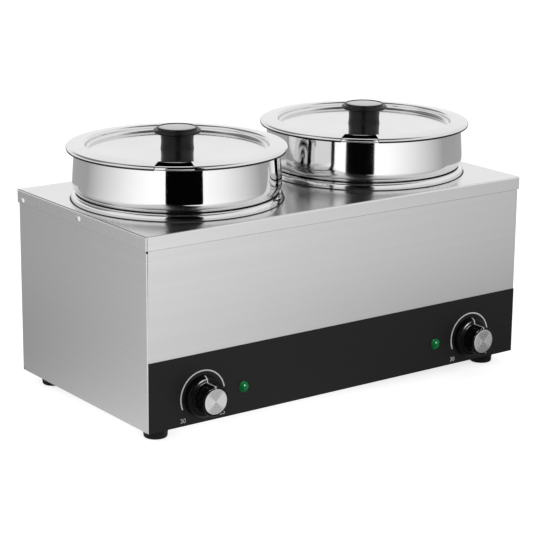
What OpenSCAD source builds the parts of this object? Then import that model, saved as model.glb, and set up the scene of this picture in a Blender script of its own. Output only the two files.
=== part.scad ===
// Twin-pot soup kettle: a folded steel housing with two heated water wells, two lift-out
// pots with notched lids, and a thermostat knob and pilot lamp for each side.
// Millimetres. The origin is on the table under the middle of the housing, +Z is up and
// the front faces -Y. Left and right are as seen from the front.

/* [Housing] */
// Width over the deck skirt
deck_w = 480; // [470:1:580]
// Depth over the deck skirt
deck_d = 250; // [244:1:300]
// Height from the lower edge of the housing to the top of the deck
housing_h = 198; // [190:1:240]
// Thickness of the housing and well sheet
sheet_t = 1; // [0.8:0.1:1.2]
// Height of the folded skirt of the deck
skirt_h = 14; // [14:1:20]
// Outer radius of the sheet folds
fold_r = 1.7; // [1.6:0.1:2.6]
// Gap where one sheet laps another
lap_gap = 0.2; // [0.1:0.05:0.3]
// Width of the flange folded in under the housing
bottom_flange_w = 40; // [40:1:50]
// Width of the flange folded in behind the housing
rear_flange_w = 16; // [14:1:20]
// Height of the upturned rear edge of the base plate
base_upturn_h = 16; // [14:1:20]
// Diameter of the relief hole at the corner folds
relief_d = 2.4; // [2:0.1:3]

/* [Feet] */
// Height of the rubber feet
foot_h = 13; // [10:1:20]
// Radius of a foot at the top
foot_r = 13; // [11:0.5:15]
// Distance from the deck edges to the middle of a foot
foot_inset = 25; // [20:1:28]

/* [Wells] */
// Distance between the axes of the two wells
pot_pitch = 244; // [240:1:270]
// Inner radius of a well
well_r = 101; // [84:1:104]
// Room between the lower edge of the housing and the well floor
under_room = 50; // [49:1:60]
// Inner radius of the corner between well wall and floor
well_corner_r = 15; // [10:1:18]
// Width of the rolled bead round a well
bead_w = 8; // [7:0.5:9]
// Height of the bead above the deck
bead_h = 7; // [6:0.5:9]

/* [Pots] */
// Thickness of the pot sheet
pot_t = 1; // [0.8:0.1:1.2]
// Water gap between pot and well wall
water_side = 10; // [9.5:0.5:12]
// Water gap between pot and well floor
water_under = 12; // [8:1:20]
// Height of the pot rim above the deck
pot_rise = 55; // [45:1:70]
// How far the belly of the pot stands outside the well wall
belly_out = 6.5; // [5:0.25:6.5]
// How much the upper wall draws in from belly to rim
belly_taper = 2.5; // [0:0.25:2.5]
// Radius of the shoulder that seats on the bead
shoulder_r = 15; // [8:0.5:15]
// Outer radius of the corner between pot wall and floor
pot_corner_r = 18; // [10:1:24]
// How far the rolled rim stands outside the upper wall
rim_out = 6; // [5:0.25:7]
// Radius of the rolled rim
rim_r = 2; // [2:0.25:3.5]
// Gap between a resting curved piece and its seat
seat_gap = 0.3; // [0.2:0.05:0.5]

/* [Lids] */
// Thickness of the lid sheet
lid_t = 0.8; // [0.6:0.1:1]
// How far the lid edge stands outside the pot rim
lid_over = 2.5; // [2.5:0.25:4]
// Width of the lid flange
lid_flange_w = 20; // [20:0.5:26]
// How much the lid flange falls towards its edge
lid_fall = 1.5; // [0.5:0.1:3]
// Radius of the turned-down lid edge
lid_edge_r = 3; // [3:0.25:4]
// How far the turned-down lid edge curls under
lid_lip_h = 1.6; // [1:0.1:2]
// Depth of the lid recess
recess_h = 6.5; // [6.5:0.5:10]
// Radius of the bends at the top and foot of the recess
recess_bend_r = 3.1; // [2:0.1:3.2]
// Width of the ladle notch at its inner edge
notch_in_w = 32; // [20:1:40]
// Width of the ladle notch at the lid edge
notch_out_w = 41; // [36:1:60]
// Turn of the left lid's notch from the front towards the left
notch_turn_left = 35; // [0:1:180]
// Turn of the right lid's notch from the front towards the left
notch_turn_right = 41; // [0:1:180]

/* [Lid knobs] */
// Height of the lid knob
lid_knob_h = 22.6; // [20:0.2:30]
// Radius of the stem at its waist
stem_r = 16.6; // [12:0.2:18]
// How much the stem flares towards its ends
stem_flare = 0.6; // [0:0.1:1.5]
// Radius of the mushroom cap
cap_r = 24.5; // [20:0.5:28]
// Thickness of the mushroom cap
cap_t = 4; // [3:0.2:5]
// Radius of the raised disc on the cap
cap_disc_r = 20.5; // [16:0.5:23]
// Height of the raised disc on the cap
cap_disc_h = 2.2; // [1:0.2:3]

/* [Controls] */
// Distance of the knobs from the middle
control_x = 175; // [172:1:200]
// Height of the knob axes above the lower edge of the housing
control_z = 28; // [26:1:32]
// Distance of the pilot lamps from the middle
lamp_x = 126; // [110:1:130]
// Height of the pilot lamps above the lower edge of the housing
lamp_z = 28; // [20:1:40]
// Height of the black control strip
strip_h = 72; // [60:1:90]
// Thickness of the control strip
strip_t = 0.5; // [0.3:0.1:1]
// Distance from the corners and the lower edge of the housing to the control strip
strip_inset = 0.6; // [0.4:0.1:2.5]
// Distance from the strip to the front of the knob disc
knob_reach = 23; // [21:0.5:28]
// Radius of the knob skirt
dial_r = 21.5; // [21:0.5:24]
// Radius of the knob grip
grip_r = 15.5; // [14.5:0.25:17]
// Number of flutes in the grip
flute_count = 10; // [6:1:12]
// Radius of the spun disc in the knob
disc_r = 13; // [11:0.25:13]
// Radius of the thermostat shaft
shaft_r = 3; // [2.5:0.1:3.6]
// Radial clearance of the turning shaft
shaft_gap = 0.05; // [0.02:0.01:0.1]
// Radius of the pilot lamp lens
lens_r = 5.75; // [5:0.25:7]

/* [Heating] */
// Radius of the ring element
element_r = 65; // [50:1:66]
// Diameter of the element tube
element_d = 8; // [6:0.5:8]
// Opening angle between the two ends of the ring
element_gap_angle = 50; // [40:1:70]
// Diameter of the thermostat bulb
bulb_d = 6; // [4:0.5:7]
// Length of the thermostat bulb
bulb_l = 60; // [40:1:66]
// Diameter of the capillary tube
capillary_d = 2; // [1.6:0.1:2.5]
// Diameter of an insulated wire
wire_d = 2.6; // [2:0.1:3]

/* [Hidden] */
$fn = 96;
sides = [-1, 1];

// Cutting tools run past the faces they cut by this much
past = 1;
// Play round a fixed screw, stud or stem in its hole
hole_gap = 0.1;
// How far a screw stands out past its nut
screw_tip = 2;
// Cross recess of a screw, as parts of the radius and height of its head
recess_w_part = 0.3;
recess_l_part = 1.1;
recess_depth_part = 0.6;

// Main levels
base_z = foot_h;
deck_z = foot_h + housing_h;
panel_top_z = deck_z - fold_r - lap_gap;
flange_top_z = base_z + sheet_t;
plate_top_z = flange_top_z + sheet_t;
well_floor_z = base_z + under_room;
well_under_z = well_floor_z - sheet_t;
control_axis_z = base_z + control_z;
lamp_axis_z = base_z + lamp_z;

// Outer faces of the wrapper and back panel, one sheet inside the deck skirt
wrap_x = deck_w / 2 - sheet_t - lap_gap;
wrap_y = deck_d / 2 - sheet_t - lap_gap;
inner_x = wrap_x - sheet_t;
inner_y = wrap_y - sheet_t;
rear_face_y = inner_y - lap_gap;
strip_face_y = wrap_y + strip_t;
// The base plate and back panel keep clear of the inside of the folds
base_inset = fold_r - sheet_t + lap_gap;
panel_x = wrap_x - base_inset;
// The rear tab of the base plate stands between the side flanges
tab_gap = 2;
tab_half_w = wrap_x - bottom_flange_w - tab_gap;

// Screw sizes
deck_screw_r = 1.75;
deck_head_r = 3.6;
deck_head_h = 1.8;
deck_screw_l = 8;
deck_screw_drop = skirt_h / 2;
rear_screw_inset = 12;
rear_screw_drop = 10.5;
back_skirt_screw_x = 100;
back_screw_rise = [40, 150];
base_screw_x = 100;
foot_screw_r = 2.5;
foot_head_r = 4.6;
foot_head_h = 3;
foot_head_rise = 4;
foot_head_gap = 0.5;
foot_nut_r = 4.6;
foot_nut_h = 4;
foot_taper = 1;
foot_edge_r = 1.5;

// Bead and deck hole
bead_r = bead_w / 2;
bead_mid_r = well_r + bead_r;
bead_mid_z = deck_z + bead_h - bead_r;
bead_out_r = well_r + bead_w;
deck_hole_gap = 1.5;
deck_hole_r = well_r + sheet_t + deck_hole_gap;

// Pot: the shoulder circle rests on the bead circle
belly_r = well_r + belly_out;
pot_r = well_r - water_side;
shoulder_mid_r = belly_r - shoulder_r;
seat_reach = bead_r + shoulder_r + seat_gap;
shoulder_mid_z = bead_mid_z + sqrt(pow(seat_reach, 2) - pow(bead_mid_r - shoulder_mid_r, 2));
shoulder_z = shoulder_mid_z - shoulder_r;
pot_floor_z = well_floor_z + water_under;
rim_z = deck_z + pot_rise;
pot_top_r = belly_r - belly_taper;
rim_end_r = pot_top_r + rim_out;
rim_flat_r = rim_end_r - rim_r;

// Lid: its sloping flange rests on the outer edge of the flat of the pot rim
lid_r = rim_end_r + lid_over;
recess_r = lid_r - lid_flange_w;
crest_r = recess_r + recess_bend_r;
edge_mid_r = lid_r - lid_edge_r;
crest_z = rim_z + seat_gap + lid_t + lid_fall * (rim_flat_r - crest_r) / (edge_mid_r - crest_r);
edge_top_z = crest_z - lid_fall;
edge_mid_z = edge_top_z - lid_edge_r;
lip_z = edge_mid_z - lid_lip_h;
lid_floor_z = crest_z - recess_h;
notch_clear = 0.6;
notch_start = recess_r + lid_t + notch_clear;
lid_screw_r = 2.5;
lid_head_r = 4.5;
lid_head_h = 2.4;
lid_screw_bite = 12;
cap_top_dish = 0.6;
cap_rim_w = 1.2;

// Controls
dial_gap = 0.8;
dial_rim_h = 2;
dial_slope_h = 5;
hub_wall = 3.2;
hub_r = shaft_r + hub_wall;
dial_wall = 2.2;
grip_edge = 1.2;
flute_rise = 0.6;
disc_proud = 0.3;
disc_recess = 1.2;
grip_front = knob_reach - disc_proud;
flute_r = 3.2;
flute_depth = 0.9;
shaft_end = 16;
shaft_in = 10;
bushing_wall = 2;
bushing_r = shaft_r + bushing_wall;
strip_window_r = 18.5;
thermostat_r = 17;
thermostat_l = 28;
plate_w = 40;
plate_h = 20;
plate_t = 2;
thermostat_screw_x = 14;
thermostat_screw_r = 2;
thermostat_head_r = 3.4;
thermostat_head_h = 2;
thermostat_screw_l = 8;
thermostat_back_y = plate_t + thermostat_l - inner_y;
lens_flange_h = 1;
lens_step = 0.5;
lens_dome_r = lens_r - lens_step;
lens_dome_h = 3.4;
lens_stem_r = 3.9;
lens_stem_l = 8;
lamp_body_r = 6;
lamp_body_l = 26;
lamp_back_y = lamp_body_l - inner_y;

// Heating
element_z = well_under_z - element_d / 2 - hole_gap;
element_end_l = 14;
element_pin_r = 2;
element_pin_l = 10;
element_end_x = element_r * sin(element_gap_angle / 2);
element_end_y = element_r * cos(element_gap_angle / 2);
element_pin_z = element_z - element_end_l - element_pin_l;
clamp_w = 20;
clamp_t = 2;
clamp_over = 10;
clamp_l = 2 * (element_r + clamp_over);
clamp_top_z = element_z - element_d / 2 - hole_gap;
stud_r = 3;
stud_l = 19;
nut_r = 5.7;
nut_h = 5;
bulb_y = -45;
bulb_z = well_under_z - bulb_d / 2 - hole_gap;
clip_w = 12;
clip_t = 1;
clip_foot = 6;
capillary_drop = 13;
capillary_bend = 12;
capillary_z = bulb_z - capillary_drop;
// Bends of thin tubes are a little fatter than the tube
bend_fat = 1.1;

// Connections at the back
block_w = 48;
block_d = 20;
block_h = 24;
block_y = 82;
block_screw_x = 19.5;
block_screw_r = 1.5;
block_head_r = 3;
block_head_h = 2;
wire_rise = 7;
wire_step = 6;
wire_low_z = plate_top_z + wire_rise;
wire_mid_z = wire_low_z + wire_step;
wire_high_z = wire_mid_z + wire_step;
live_x = 13;
neutral_x = 11;
lamp_wire_x = 15;
terminal_pitch = 4;
earth_x = 60;
earth_y = 90;
earth_r = 2.5;
earth_l = 18;
earth_nut_r = 4.6;
earth_nut_h = 4;
// Ends and turns of the wires
block_face_y = block_y - block_d / 2;
wire_bend = 10;
block_turn_y = block_face_y - wire_bend;
lead_x = 8;
lead_drop = 8;
lead_z = control_axis_z - lead_drop;
lead_turn_y = thermostat_back_y + wire_bend;
lamp_lead_x = 3;
lamp_bend = 8;
lamp_turn_y = lamp_back_y + lamp_bend;
lamp_join_back = 18;
lamp_join_y = lamp_turn_y - lamp_join_back;
gland_bore_r = 4.5;
gland_thread_r = 8;
gland_hex_r = 13.5;
// The gland nut keeps clear of the upturned edge of the base plate
gland_room = 1.5;
gland_z = flange_top_z + base_upturn_h + gland_hex_r + gland_room;
gland_hex_h = 6;
gland_cap_r = 11;
gland_in_l = 12;
gland_nut_h = 5;
// The gland stands out behind as far as the knobs do in front
gland_reach = strip_face_y + knob_reach - wrap_y;

// Vents
vent_w = 4;
back_vent_l = 36;
back_vent_pitch = 12;
back_vent_count = 7;
back_vent_rise = 120;
base_vent_l = 40;
base_vent_pitch = 16;
base_vent_count = 7;

// Part of a flat ring between two angles, for bends in sheet outlines
module ring_arc(r_out, t, a0, a1) {
    reach = 2 * r_out;
    mid = (a0 + a1) / 2;
    intersection() {
        difference() {
            circle(r_out);
            circle(r_out - t);
        }
        polygon(concat([[0, 0]], [for (a = [a0, mid, a1]) reach * [cos(a), sin(a)]]));
    }
}

// Rectangle between two radii and two heights, for turned outlines
module bar(r0, r1, z0, z1) {
    translate([r0, z0]) square([r1 - r0, z1 - z0]);
}

// Rectangle standing on the X axis with its two upper corners rounded
module arched(w, h, r) {
    translate([-w / 2, 0]) square([w, h - r]);
    translate([r - w / 2, 0]) square([w - 2 * r, h]);
    for (s = sides) translate([s * (w / 2 - r), h - r]) circle(r);
}

// Rectangle with all four corners rounded
module rounded(w, d, r) {
    square([w - 2 * r, d], center = true);
    square([w, d - 2 * r], center = true);
    for (sx = sides, sy = sides) translate([sx * (w / 2 - r), sy * (d / 2 - r)]) circle(r);
}

// Block standing on Z = 0 with its upright and upper edges rounded, as a folded tray is outside
module folded_block(w, d, h, r) {
    intersection() {
        linear_extrude(h) rounded(w, d, r);
        rotate([90, 0, 0]) translate([0, 0, -d]) linear_extrude(2 * d) arched(w, h, r);
        rotate([90, 0, 90]) translate([0, 0, -w]) linear_extrude(2 * w) arched(d, h, r);
    }
}

// Straight rod from a to b
module rod(a, b, r) {
    v = b - a;
    translate(a) rotate([0, acos(v[2] / norm(v)), atan2(v[1], v[0])]) cylinder(h = norm(v), r = r);
}

// Thin tube or wire along a list of points, with a ball at each bend that is turned
// so that its seam faces away from both runs
module run(points, d) {
    for (i = [1 : len(points) - 1]) rod(points[i - 1], points[i], d / 2);
    for (i = [1 : len(points) - 2]) {
        back = points[i - 1] - points[i];
        on = points[i + 1] - points[i];
        away = -back / norm(back) - on / norm(on);
        translate(points[i]) rotate(atan2(away[1], away[0])) sphere(bend_fat * d / 2);
    }
}

// Domed screw with its head on Z = 0 and its shank below, with a cross recess
module domed_screw(head_r, head_h, r, l) {
    ball_r = (pow(head_r, 2) + pow(head_h, 2)) / (2 * head_h);
    slot_w = recess_w_part * head_r;
    slot_l = recess_l_part * head_r;
    slot_depth = recess_depth_part * head_h;
    difference() {
        union() {
            intersection() {
                translate([0, 0, head_h - ball_r]) sphere(ball_r);
                cylinder(h = head_h + past, r = head_r + past);
            }
            translate([0, 0, -l]) cylinder(h = l, r = r);
        }
        for (a = [0, 90]) rotate(a) translate([-slot_l / 2, -slot_w / 2, head_h - slot_depth])
            cube([slot_l, slot_w, head_h]);
    }
}

// Hexagon nut standing on Z = 0
module nut(hex_r, h, bore_r) {
    difference() {
        cylinder(h = h, r = hex_r, $fn = 6);
        translate([0, 0, -past]) cylinder(h = h + 2 * past, r = bore_r);
    }
}

// Row of upright slots with round ends, centred, cut along Y
module slot_row(count, pitch, l, w, depth) {
    for (i = [0 : count - 1]) translate([(i - (count - 1) / 2) * pitch, depth / 2, 0])
        rotate([90, 0, 0]) linear_extrude(depth) {
            square([w, l - w], center = true);
            for (s = sides) translate([0, s * (l - w) / 2]) circle(d = w);
        }
}

// On the axis of a pot
module at_pot(s) {
    translate([s * pot_pitch / 2, 0, 0]) children();
}

// At a place on the front, a distance y before the middle, with Z pointing forwards
module at_front(x, y, z) {
    translate([x, -y, z]) rotate([90, 0, 0]) children();
}

// At one foot, or at all four
module at_foot(sx, sy) {
    translate([sx * (deck_w / 2 - foot_inset), sy * (deck_d / 2 - foot_inset), 0]) children();
}
module at_feet() {
    for (sx = sides, sy = sides) at_foot(sx, sy) children();
}

// At the screws on both sides of the deck skirt, with Z pointing outwards
module at_deck_sides(x) {
    rear_y = deck_d / 2 - rear_screw_inset;
    for (s = sides) {
        translate([s * x, 0, deck_z - deck_screw_drop]) rotate([0, s * 90, 0]) children();
        translate([s * x, rear_y, deck_z - rear_screw_drop]) rotate([0, s * 90, 0]) children();
    }
}

// At the screws on the back of the deck skirt, with Z pointing backwards
module at_deck_back(y) {
    for (s = sides) translate([s * back_skirt_screw_x, y, deck_z - deck_screw_drop])
        rotate([-90, 0, 0]) children();
}

// At the screws on the back panel, with Z pointing backwards
module at_back(y) {
    for (s = sides) {
        for (rise = back_screw_rise) translate([s * (wrap_x - rear_flange_w / 2), y, base_z + rise])
            rotate([-90, 0, 0]) children();
        translate([s * base_screw_x, y, flange_top_z + base_upturn_h / 2]) rotate([-90, 0, 0]) children();
    }
}

// Housing
module body_wrapper() {
    wrap_d = wrap_y + rear_face_y;
    wrap_h = panel_top_z - base_z;
    mid_y = (rear_face_y - wrap_y) / 2;
    relief_z = deck_z - skirt_h - relief_d / 2 - lap_gap;
    color("silver") difference() {
        translate([0, mid_y, panel_top_z]) mirror([0, 0, 1]) difference() {
            folded_block(2 * wrap_x, wrap_d, wrap_h, fold_r);
            translate([0, 0, -past])
                folded_block(2 * inner_x, wrap_d - 2 * sheet_t, wrap_h - sheet_t + past, fold_r - sheet_t);
        }
        // Opening between the bottom flanges, and the open back
        translate([0, 0, base_z]) cube([2 * (wrap_x - bottom_flange_w),
            2 * (wrap_y - bottom_flange_w), 4 * sheet_t], center = true);
        translate([-wrap_x + rear_flange_w, rear_face_y - fold_r - sheet_t, base_z - past])
            cube([2 * (wrap_x - rear_flange_w), fold_r + sheet_t + past, wrap_h + 2 * past]);
        translate([-wrap_x + bottom_flange_w, 0, base_z - past])
            cube([2 * (wrap_x - bottom_flange_w), deck_d, sheet_t + fold_r + past]);
        // Relief at the rear lower corners and under the skirt at the front ones
        translate([-deck_w / 2, rear_face_y - 2 * fold_r, base_z - past])
            cube([deck_w, deck_d, 2 * fold_r + past]);
        for (s = sides) translate([s * wrap_x, -wrap_y, relief_z]) rotate([90, 0, s * 45])
            cylinder(h = 4 * fold_r, d = relief_d, center = true);
        // Holes for the feet, controls and screws
        at_feet() cylinder(h = foot_h + 2 * fold_r, r = foot_screw_r + hole_gap);
        for (s = sides) {
            at_front(s * control_x, inner_y - past, control_axis_z) {
                cylinder(h = sheet_t + 2 * past, r = bushing_r + hole_gap);
                for (t = sides) translate([t * thermostat_screw_x, 0, 0])
                    cylinder(h = sheet_t + 2 * past, r = thermostat_screw_r + hole_gap);
            }
            at_front(s * lamp_x, inner_y - past, lamp_axis_z)
                cylinder(h = sheet_t + 2 * past, r = lens_stem_r + hole_gap);
        }
        at_deck_sides(inner_x - past) cylinder(h = sheet_t + 2 * past, r = deck_screw_r + hole_gap);
        at_back(rear_face_y - sheet_t - past)
            cylinder(h = sheet_t + 2 * past, r = deck_screw_r + hole_gap);
    }
}

module control_strip() {
    strip_w = 2 * (wrap_x - strip_inset);
    color([0.1, 0.1, 0.1]) difference() {
        translate([-strip_w / 2, -strip_face_y, base_z + strip_inset])
            cube([strip_w, strip_t, strip_h - strip_inset]);
        for (s = sides) {
            at_front(s * control_x, wrap_y - past, control_axis_z)
                cylinder(h = strip_t + 2 * past, r = strip_window_r);
            at_front(s * lamp_x, wrap_y - past, lamp_axis_z)
                cylinder(h = strip_t + 2 * past, r = lens_stem_r + hole_gap);
        }
    }
}

module back_panel() {
    color("silver") difference() {
        translate([-panel_x, inner_y, base_z]) cube([2 * panel_x, sheet_t, panel_top_z - base_z]);
        for (s = sides) translate([s * pot_pitch / 2, wrap_y, base_z + back_vent_rise])
            slot_row(back_vent_count, back_vent_pitch, back_vent_l, vent_w, 4 * sheet_t);
        translate([0, inner_y - past, gland_z]) rotate([-90, 0, 0])
            cylinder(h = sheet_t + 2 * past, r = gland_thread_r + hole_gap);
        at_back(inner_y - past) cylinder(h = sheet_t + 2 * past, r = deck_screw_r + hole_gap);
        at_deck_back(inner_y - past) cylinder(h = sheet_t + 2 * past, r = deck_screw_r + hole_gap);
    }
}

module base_plate() {
    front_y = -(inner_y - base_inset);
    corner_y = rear_face_y - 2 * fold_r - sheet_t;
    half_w = inner_x - base_inset;
    color("silver") difference() {
        union() {
            translate([-half_w, front_y, flange_top_z]) cube([2 * half_w, corner_y - front_y, sheet_t]);
            translate([-tab_half_w, 0, flange_top_z]) cube([2 * tab_half_w, rear_face_y, sheet_t]);
            translate([-tab_half_w, rear_face_y - sheet_t, flange_top_z])
                cube([2 * tab_half_w, sheet_t, base_upturn_h]);
        }
        at_feet() translate([0, 0, base_z]) cylinder(h = 4 * sheet_t, r = foot_screw_r + hole_gap);
        for (s = sides) translate([s * pot_pitch / 2, 0, flange_top_z]) rotate([90, 0, 0])
            slot_row(base_vent_count, base_vent_pitch, base_vent_l, vent_w, 4 * sheet_t);
        for (s = sides) translate([s * block_screw_x, block_y, base_z])
            cylinder(h = 4 * sheet_t, r = block_screw_r + hole_gap);
        translate([earth_x, earth_y, base_z]) cylinder(h = 4 * sheet_t, r = earth_r + hole_gap);
        at_back(rear_face_y - sheet_t - past)
            cylinder(h = sheet_t + 2 * past, r = deck_screw_r + hole_gap);
    }
}

module top_deck() {
    color("gainsboro") difference() {
        translate([0, 0, deck_z - skirt_h]) difference() {
            folded_block(deck_w, deck_d, skirt_h, fold_r);
            translate([0, 0, -past]) folded_block(deck_w - 2 * sheet_t, deck_d - 2 * sheet_t,
                skirt_h - sheet_t + past, fold_r - sheet_t);
        }
        for (s = sides) at_pot(s) translate([0, 0, deck_z - skirt_h])
            cylinder(h = 2 * skirt_h, r = deck_hole_r);
        at_deck_sides(wrap_x - past) cylinder(h = sheet_t + 3 * past, r = deck_screw_r + hole_gap);
        at_deck_back(wrap_y - past) cylinder(h = sheet_t + 3 * past, r = deck_screw_r + hole_gap);
    }
}

module deck_screws() {
    color("white") {
        at_deck_sides(deck_w / 2) domed_screw(deck_head_r, deck_head_h, deck_screw_r, deck_screw_l);
        at_deck_back(deck_d / 2) domed_screw(deck_head_r, deck_head_h, deck_screw_r, deck_screw_l);
    }
}

module back_screws() {
    color("white") at_back(wrap_y) domed_screw(deck_head_r, deck_head_h, deck_screw_r, deck_screw_l);
}

// Feet
module foot() {
    low_r = foot_r - foot_taper;
    color([0.07, 0.07, 0.07]) difference() {
        rotate_extrude() {
            polygon([[0, foot_edge_r], [low_r, foot_edge_r], [foot_r, foot_h], [0, foot_h]]);
            bar(0, low_r - foot_edge_r, 0, foot_edge_r);
            translate([low_r - foot_edge_r, foot_edge_r]) circle(foot_edge_r);
        }
        translate([0, 0, -past]) cylinder(h = foot_h + 2 * past, r = foot_screw_r + hole_gap);
        translate([0, 0, -past])
            cylinder(h = foot_head_rise + foot_head_h + past, r = foot_head_r + foot_head_gap);
    }
}
module foot_front_left() { at_foot(-1, -1) foot(); }
module foot_front_right() { at_foot(1, -1) foot(); }
module foot_back_left() { at_foot(-1, 1) foot(); }
module foot_back_right() { at_foot(1, 1) foot(); }

module foot_screws() {
    seat_z = foot_head_rise + foot_head_h;
    tip_z = plate_top_z + foot_nut_h + screw_tip;
    color("white") at_feet() translate([0, 0, seat_z]) mirror([0, 0, 1])
        domed_screw(foot_head_r, foot_head_h, foot_screw_r, tip_z - seat_z);
}

module foot_nuts() {
    color("silver") at_feet() translate([0, 0, plate_top_z])
        nut(foot_nut_r, foot_nut_h, foot_screw_r + hole_gap);
}

// Wells and heating
module well(s) {
    floor_r = well_r - well_corner_r;
    color("lightgray") at_pot(s) {
        rotate_extrude() {
            bar(0, floor_r, well_under_z, well_floor_z);
            translate([floor_r, well_floor_z + well_corner_r])
                ring_arc(well_corner_r + sheet_t, sheet_t, 270, 360);
            bar(well_r, well_r + sheet_t, well_floor_z + well_corner_r, bead_mid_z);
            translate([bead_mid_r, bead_mid_z]) ring_arc(bead_r, sheet_t, 0, 90);
            translate([bead_mid_r, bead_mid_z]) ring_arc(bead_r, sheet_t, 90, 180);
            bar(bead_out_r - sheet_t, bead_out_r, deck_z, bead_mid_z);
        }
        translate([0, 0, well_under_z - stud_l]) cylinder(h = stud_l, r = stud_r);
    }
}
module well_left() { well(-1); }
module well_right() { well(1); }

module element(s) {
    turn = 90 + element_gap_angle / 2;
    color("dimgray") at_pot(s) {
        translate([0, 0, element_z]) rotate(turn) rotate_extrude(angle = 360 - element_gap_angle)
            translate([element_r, 0]) circle(d = element_d);
        for (t = sides) translate([t * element_end_x, element_end_y, element_z]) {
            sphere(element_d / 2 + hole_gap / 2);
            translate([0, 0, -element_end_l]) cylinder(h = element_end_l, d = element_d);
            translate([0, 0, -element_end_l - element_pin_l])
                cylinder(h = element_pin_l + past, r = element_pin_r);
        }
    }
}
module element_left() { element(-1); }
module element_right() { element(1); }

module element_clamp(s) {
    color("silver") at_pot(s) difference() {
        translate([-clamp_l / 2, -clamp_w / 2, clamp_top_z - clamp_t])
            cube([clamp_l, clamp_w, clamp_t]);
        translate([0, 0, clamp_top_z - clamp_t - past])
            cylinder(h = clamp_t + 2 * past, r = stud_r + hole_gap);
    }
}
module element_clamp_left() { element_clamp(-1); }
module element_clamp_right() { element_clamp(1); }

module clamp_nuts() {
    color("silver") for (s = sides) at_pot(s) translate([0, 0, clamp_top_z - clamp_t - nut_h])
        nut(nut_r, nut_h, stud_r + hole_gap);
}

// Thermostats
module thermostat(s) {
    bore_l = shaft_in + lap_gap;
    color("dimgray") translate([s * control_x, -inner_y, control_axis_z])
    rotate([-90, 0, 0]) difference() {
        union() {
            translate([-plate_w / 2, -plate_h / 2, 0]) cube([plate_w, plate_h, plate_t]);
            cylinder(h = plate_t + thermostat_l, r = thermostat_r);
            translate([0, 0, -sheet_t]) cylinder(h = sheet_t + past, r = bushing_r);
        }
        translate([0, 0, -sheet_t - past])
            cylinder(h = bore_l + sheet_t + past, r = shaft_r + shaft_gap);
        for (t = sides) translate([t * thermostat_screw_x, 0, -past])
            cylinder(h = thermostat_screw_l + 2 * past, r = thermostat_screw_r + hole_gap);
    }
}
module thermostat_left() { thermostat(-1); }
module thermostat_right() { thermostat(1); }

module thermostat_screws() {
    color("white") for (s = sides, t = sides)
        at_front(s * control_x + t * thermostat_screw_x, wrap_y, control_axis_z)
            domed_screw(thermostat_head_r, thermostat_head_h, thermostat_screw_r, thermostat_screw_l);
}

module bulb(s) {
    pot_x = s * pot_pitch / 2;
    end_x = pot_x + s * bulb_l / 2;
    bend_x = end_x + s * 2 * capillary_d;
    color("chocolate") {
        translate([pot_x - bulb_l / 2, bulb_y, bulb_z]) rotate([0, 90, 0])
            cylinder(h = bulb_l, d = bulb_d);
        run([
            [end_x - s * capillary_d, bulb_y, bulb_z],
            [bend_x, bulb_y, bulb_z],
            [bend_x, bulb_y, capillary_z],
            [s * control_x, thermostat_back_y + capillary_bend, capillary_z],
            [s * control_x, thermostat_back_y, capillary_z]], capillary_d);
    }
}
module bulb_left() { bulb(-1); }
module bulb_right() { bulb(1); }

module bulb_clips() {
    strap_r = bulb_d / 2 + hole_gap;
    color("silver") for (s = sides) at_pot(s) translate([0, bulb_y, bulb_z]) rotate([90, 0, 90])
        translate([0, 0, -clip_w / 2]) linear_extrude(clip_w) {
            difference() {
                union() {
                    circle(strap_r + clip_t);
                    translate([-strap_r - clip_t, 0]) square([2 * (strap_r + clip_t), strap_r]);
                }
                circle(strap_r);
                translate([-strap_r, 0]) square([2 * strap_r, strap_r + past]);
                translate([-2 * strap_r, strap_r]) square(4 * strap_r);
            }
            for (t = sides) translate([t * (strap_r + clip_foot / 2), strap_r - clip_t / 2])
                square([clip_foot, clip_t], center = true);
        }
}

// Pilot lamps
module pilot_lens(s) {
    ball_r = (pow(lens_dome_r, 2) + pow(lens_dome_h, 2)) / (2 * lens_dome_h);
    stem_l = lens_stem_l + sheet_t + strip_t;
    color("green") at_front(s * lamp_x, strip_face_y, lamp_axis_z) {
        cylinder(h = lens_flange_h, r = lens_r);
        intersection() {
            translate([0, 0, lens_flange_h + lens_dome_h - ball_r]) sphere(ball_r);
            cylinder(h = lens_flange_h + lens_dome_h, r = lens_r);
        }
        translate([0, 0, -stem_l]) cylinder(h = stem_l, r = lens_stem_r);
    }
}
module pilot_lens_left() { pilot_lens(-1); }
module pilot_lens_right() { pilot_lens(1); }

module pilot_body(s) {
    color("darkgreen") translate([s * lamp_x, -inner_y, lamp_axis_z]) rotate([-90, 0, 0])
        difference() {
            cylinder(h = lamp_body_l, r = lamp_body_r);
            translate([0, 0, -past])
                cylinder(h = lens_stem_l + lap_gap + past, r = lens_stem_r + hole_gap);
        }
}
module pilot_body_left() { pilot_body(-1); }
module pilot_body_right() { pilot_body(1); }

// Connections
module terminal_block() {
    color("ivory") difference() {
        translate([-block_w / 2, block_face_y, plate_top_z]) cube([block_w, block_d, block_h]);
        for (s = sides) translate([s * block_screw_x, block_y, plate_top_z - past])
            cylinder(h = block_h + 2 * past, r = block_screw_r + hole_gap);
    }
}

module terminal_screws() {
    screw_l = block_h + sheet_t + screw_tip;
    color("white") for (s = sides) translate([s * block_screw_x, block_y, plate_top_z + block_h])
        domed_screw(block_head_r, block_head_h, block_screw_r, screw_l);
}

module earth_stud() {
    color("goldenrod") translate([earth_x, earth_y, 0]) {
        translate([0, 0, flange_top_z]) cylinder(h = earth_l, r = earth_r);
        translate([0, 0, plate_top_z]) nut(earth_nut_r, earth_nut_h, earth_r + hole_gap);
        translate([0, 0, plate_top_z + earth_nut_h + lap_gap])
            nut(earth_nut_r, earth_nut_h, earth_r + hole_gap);
    }
}

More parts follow.
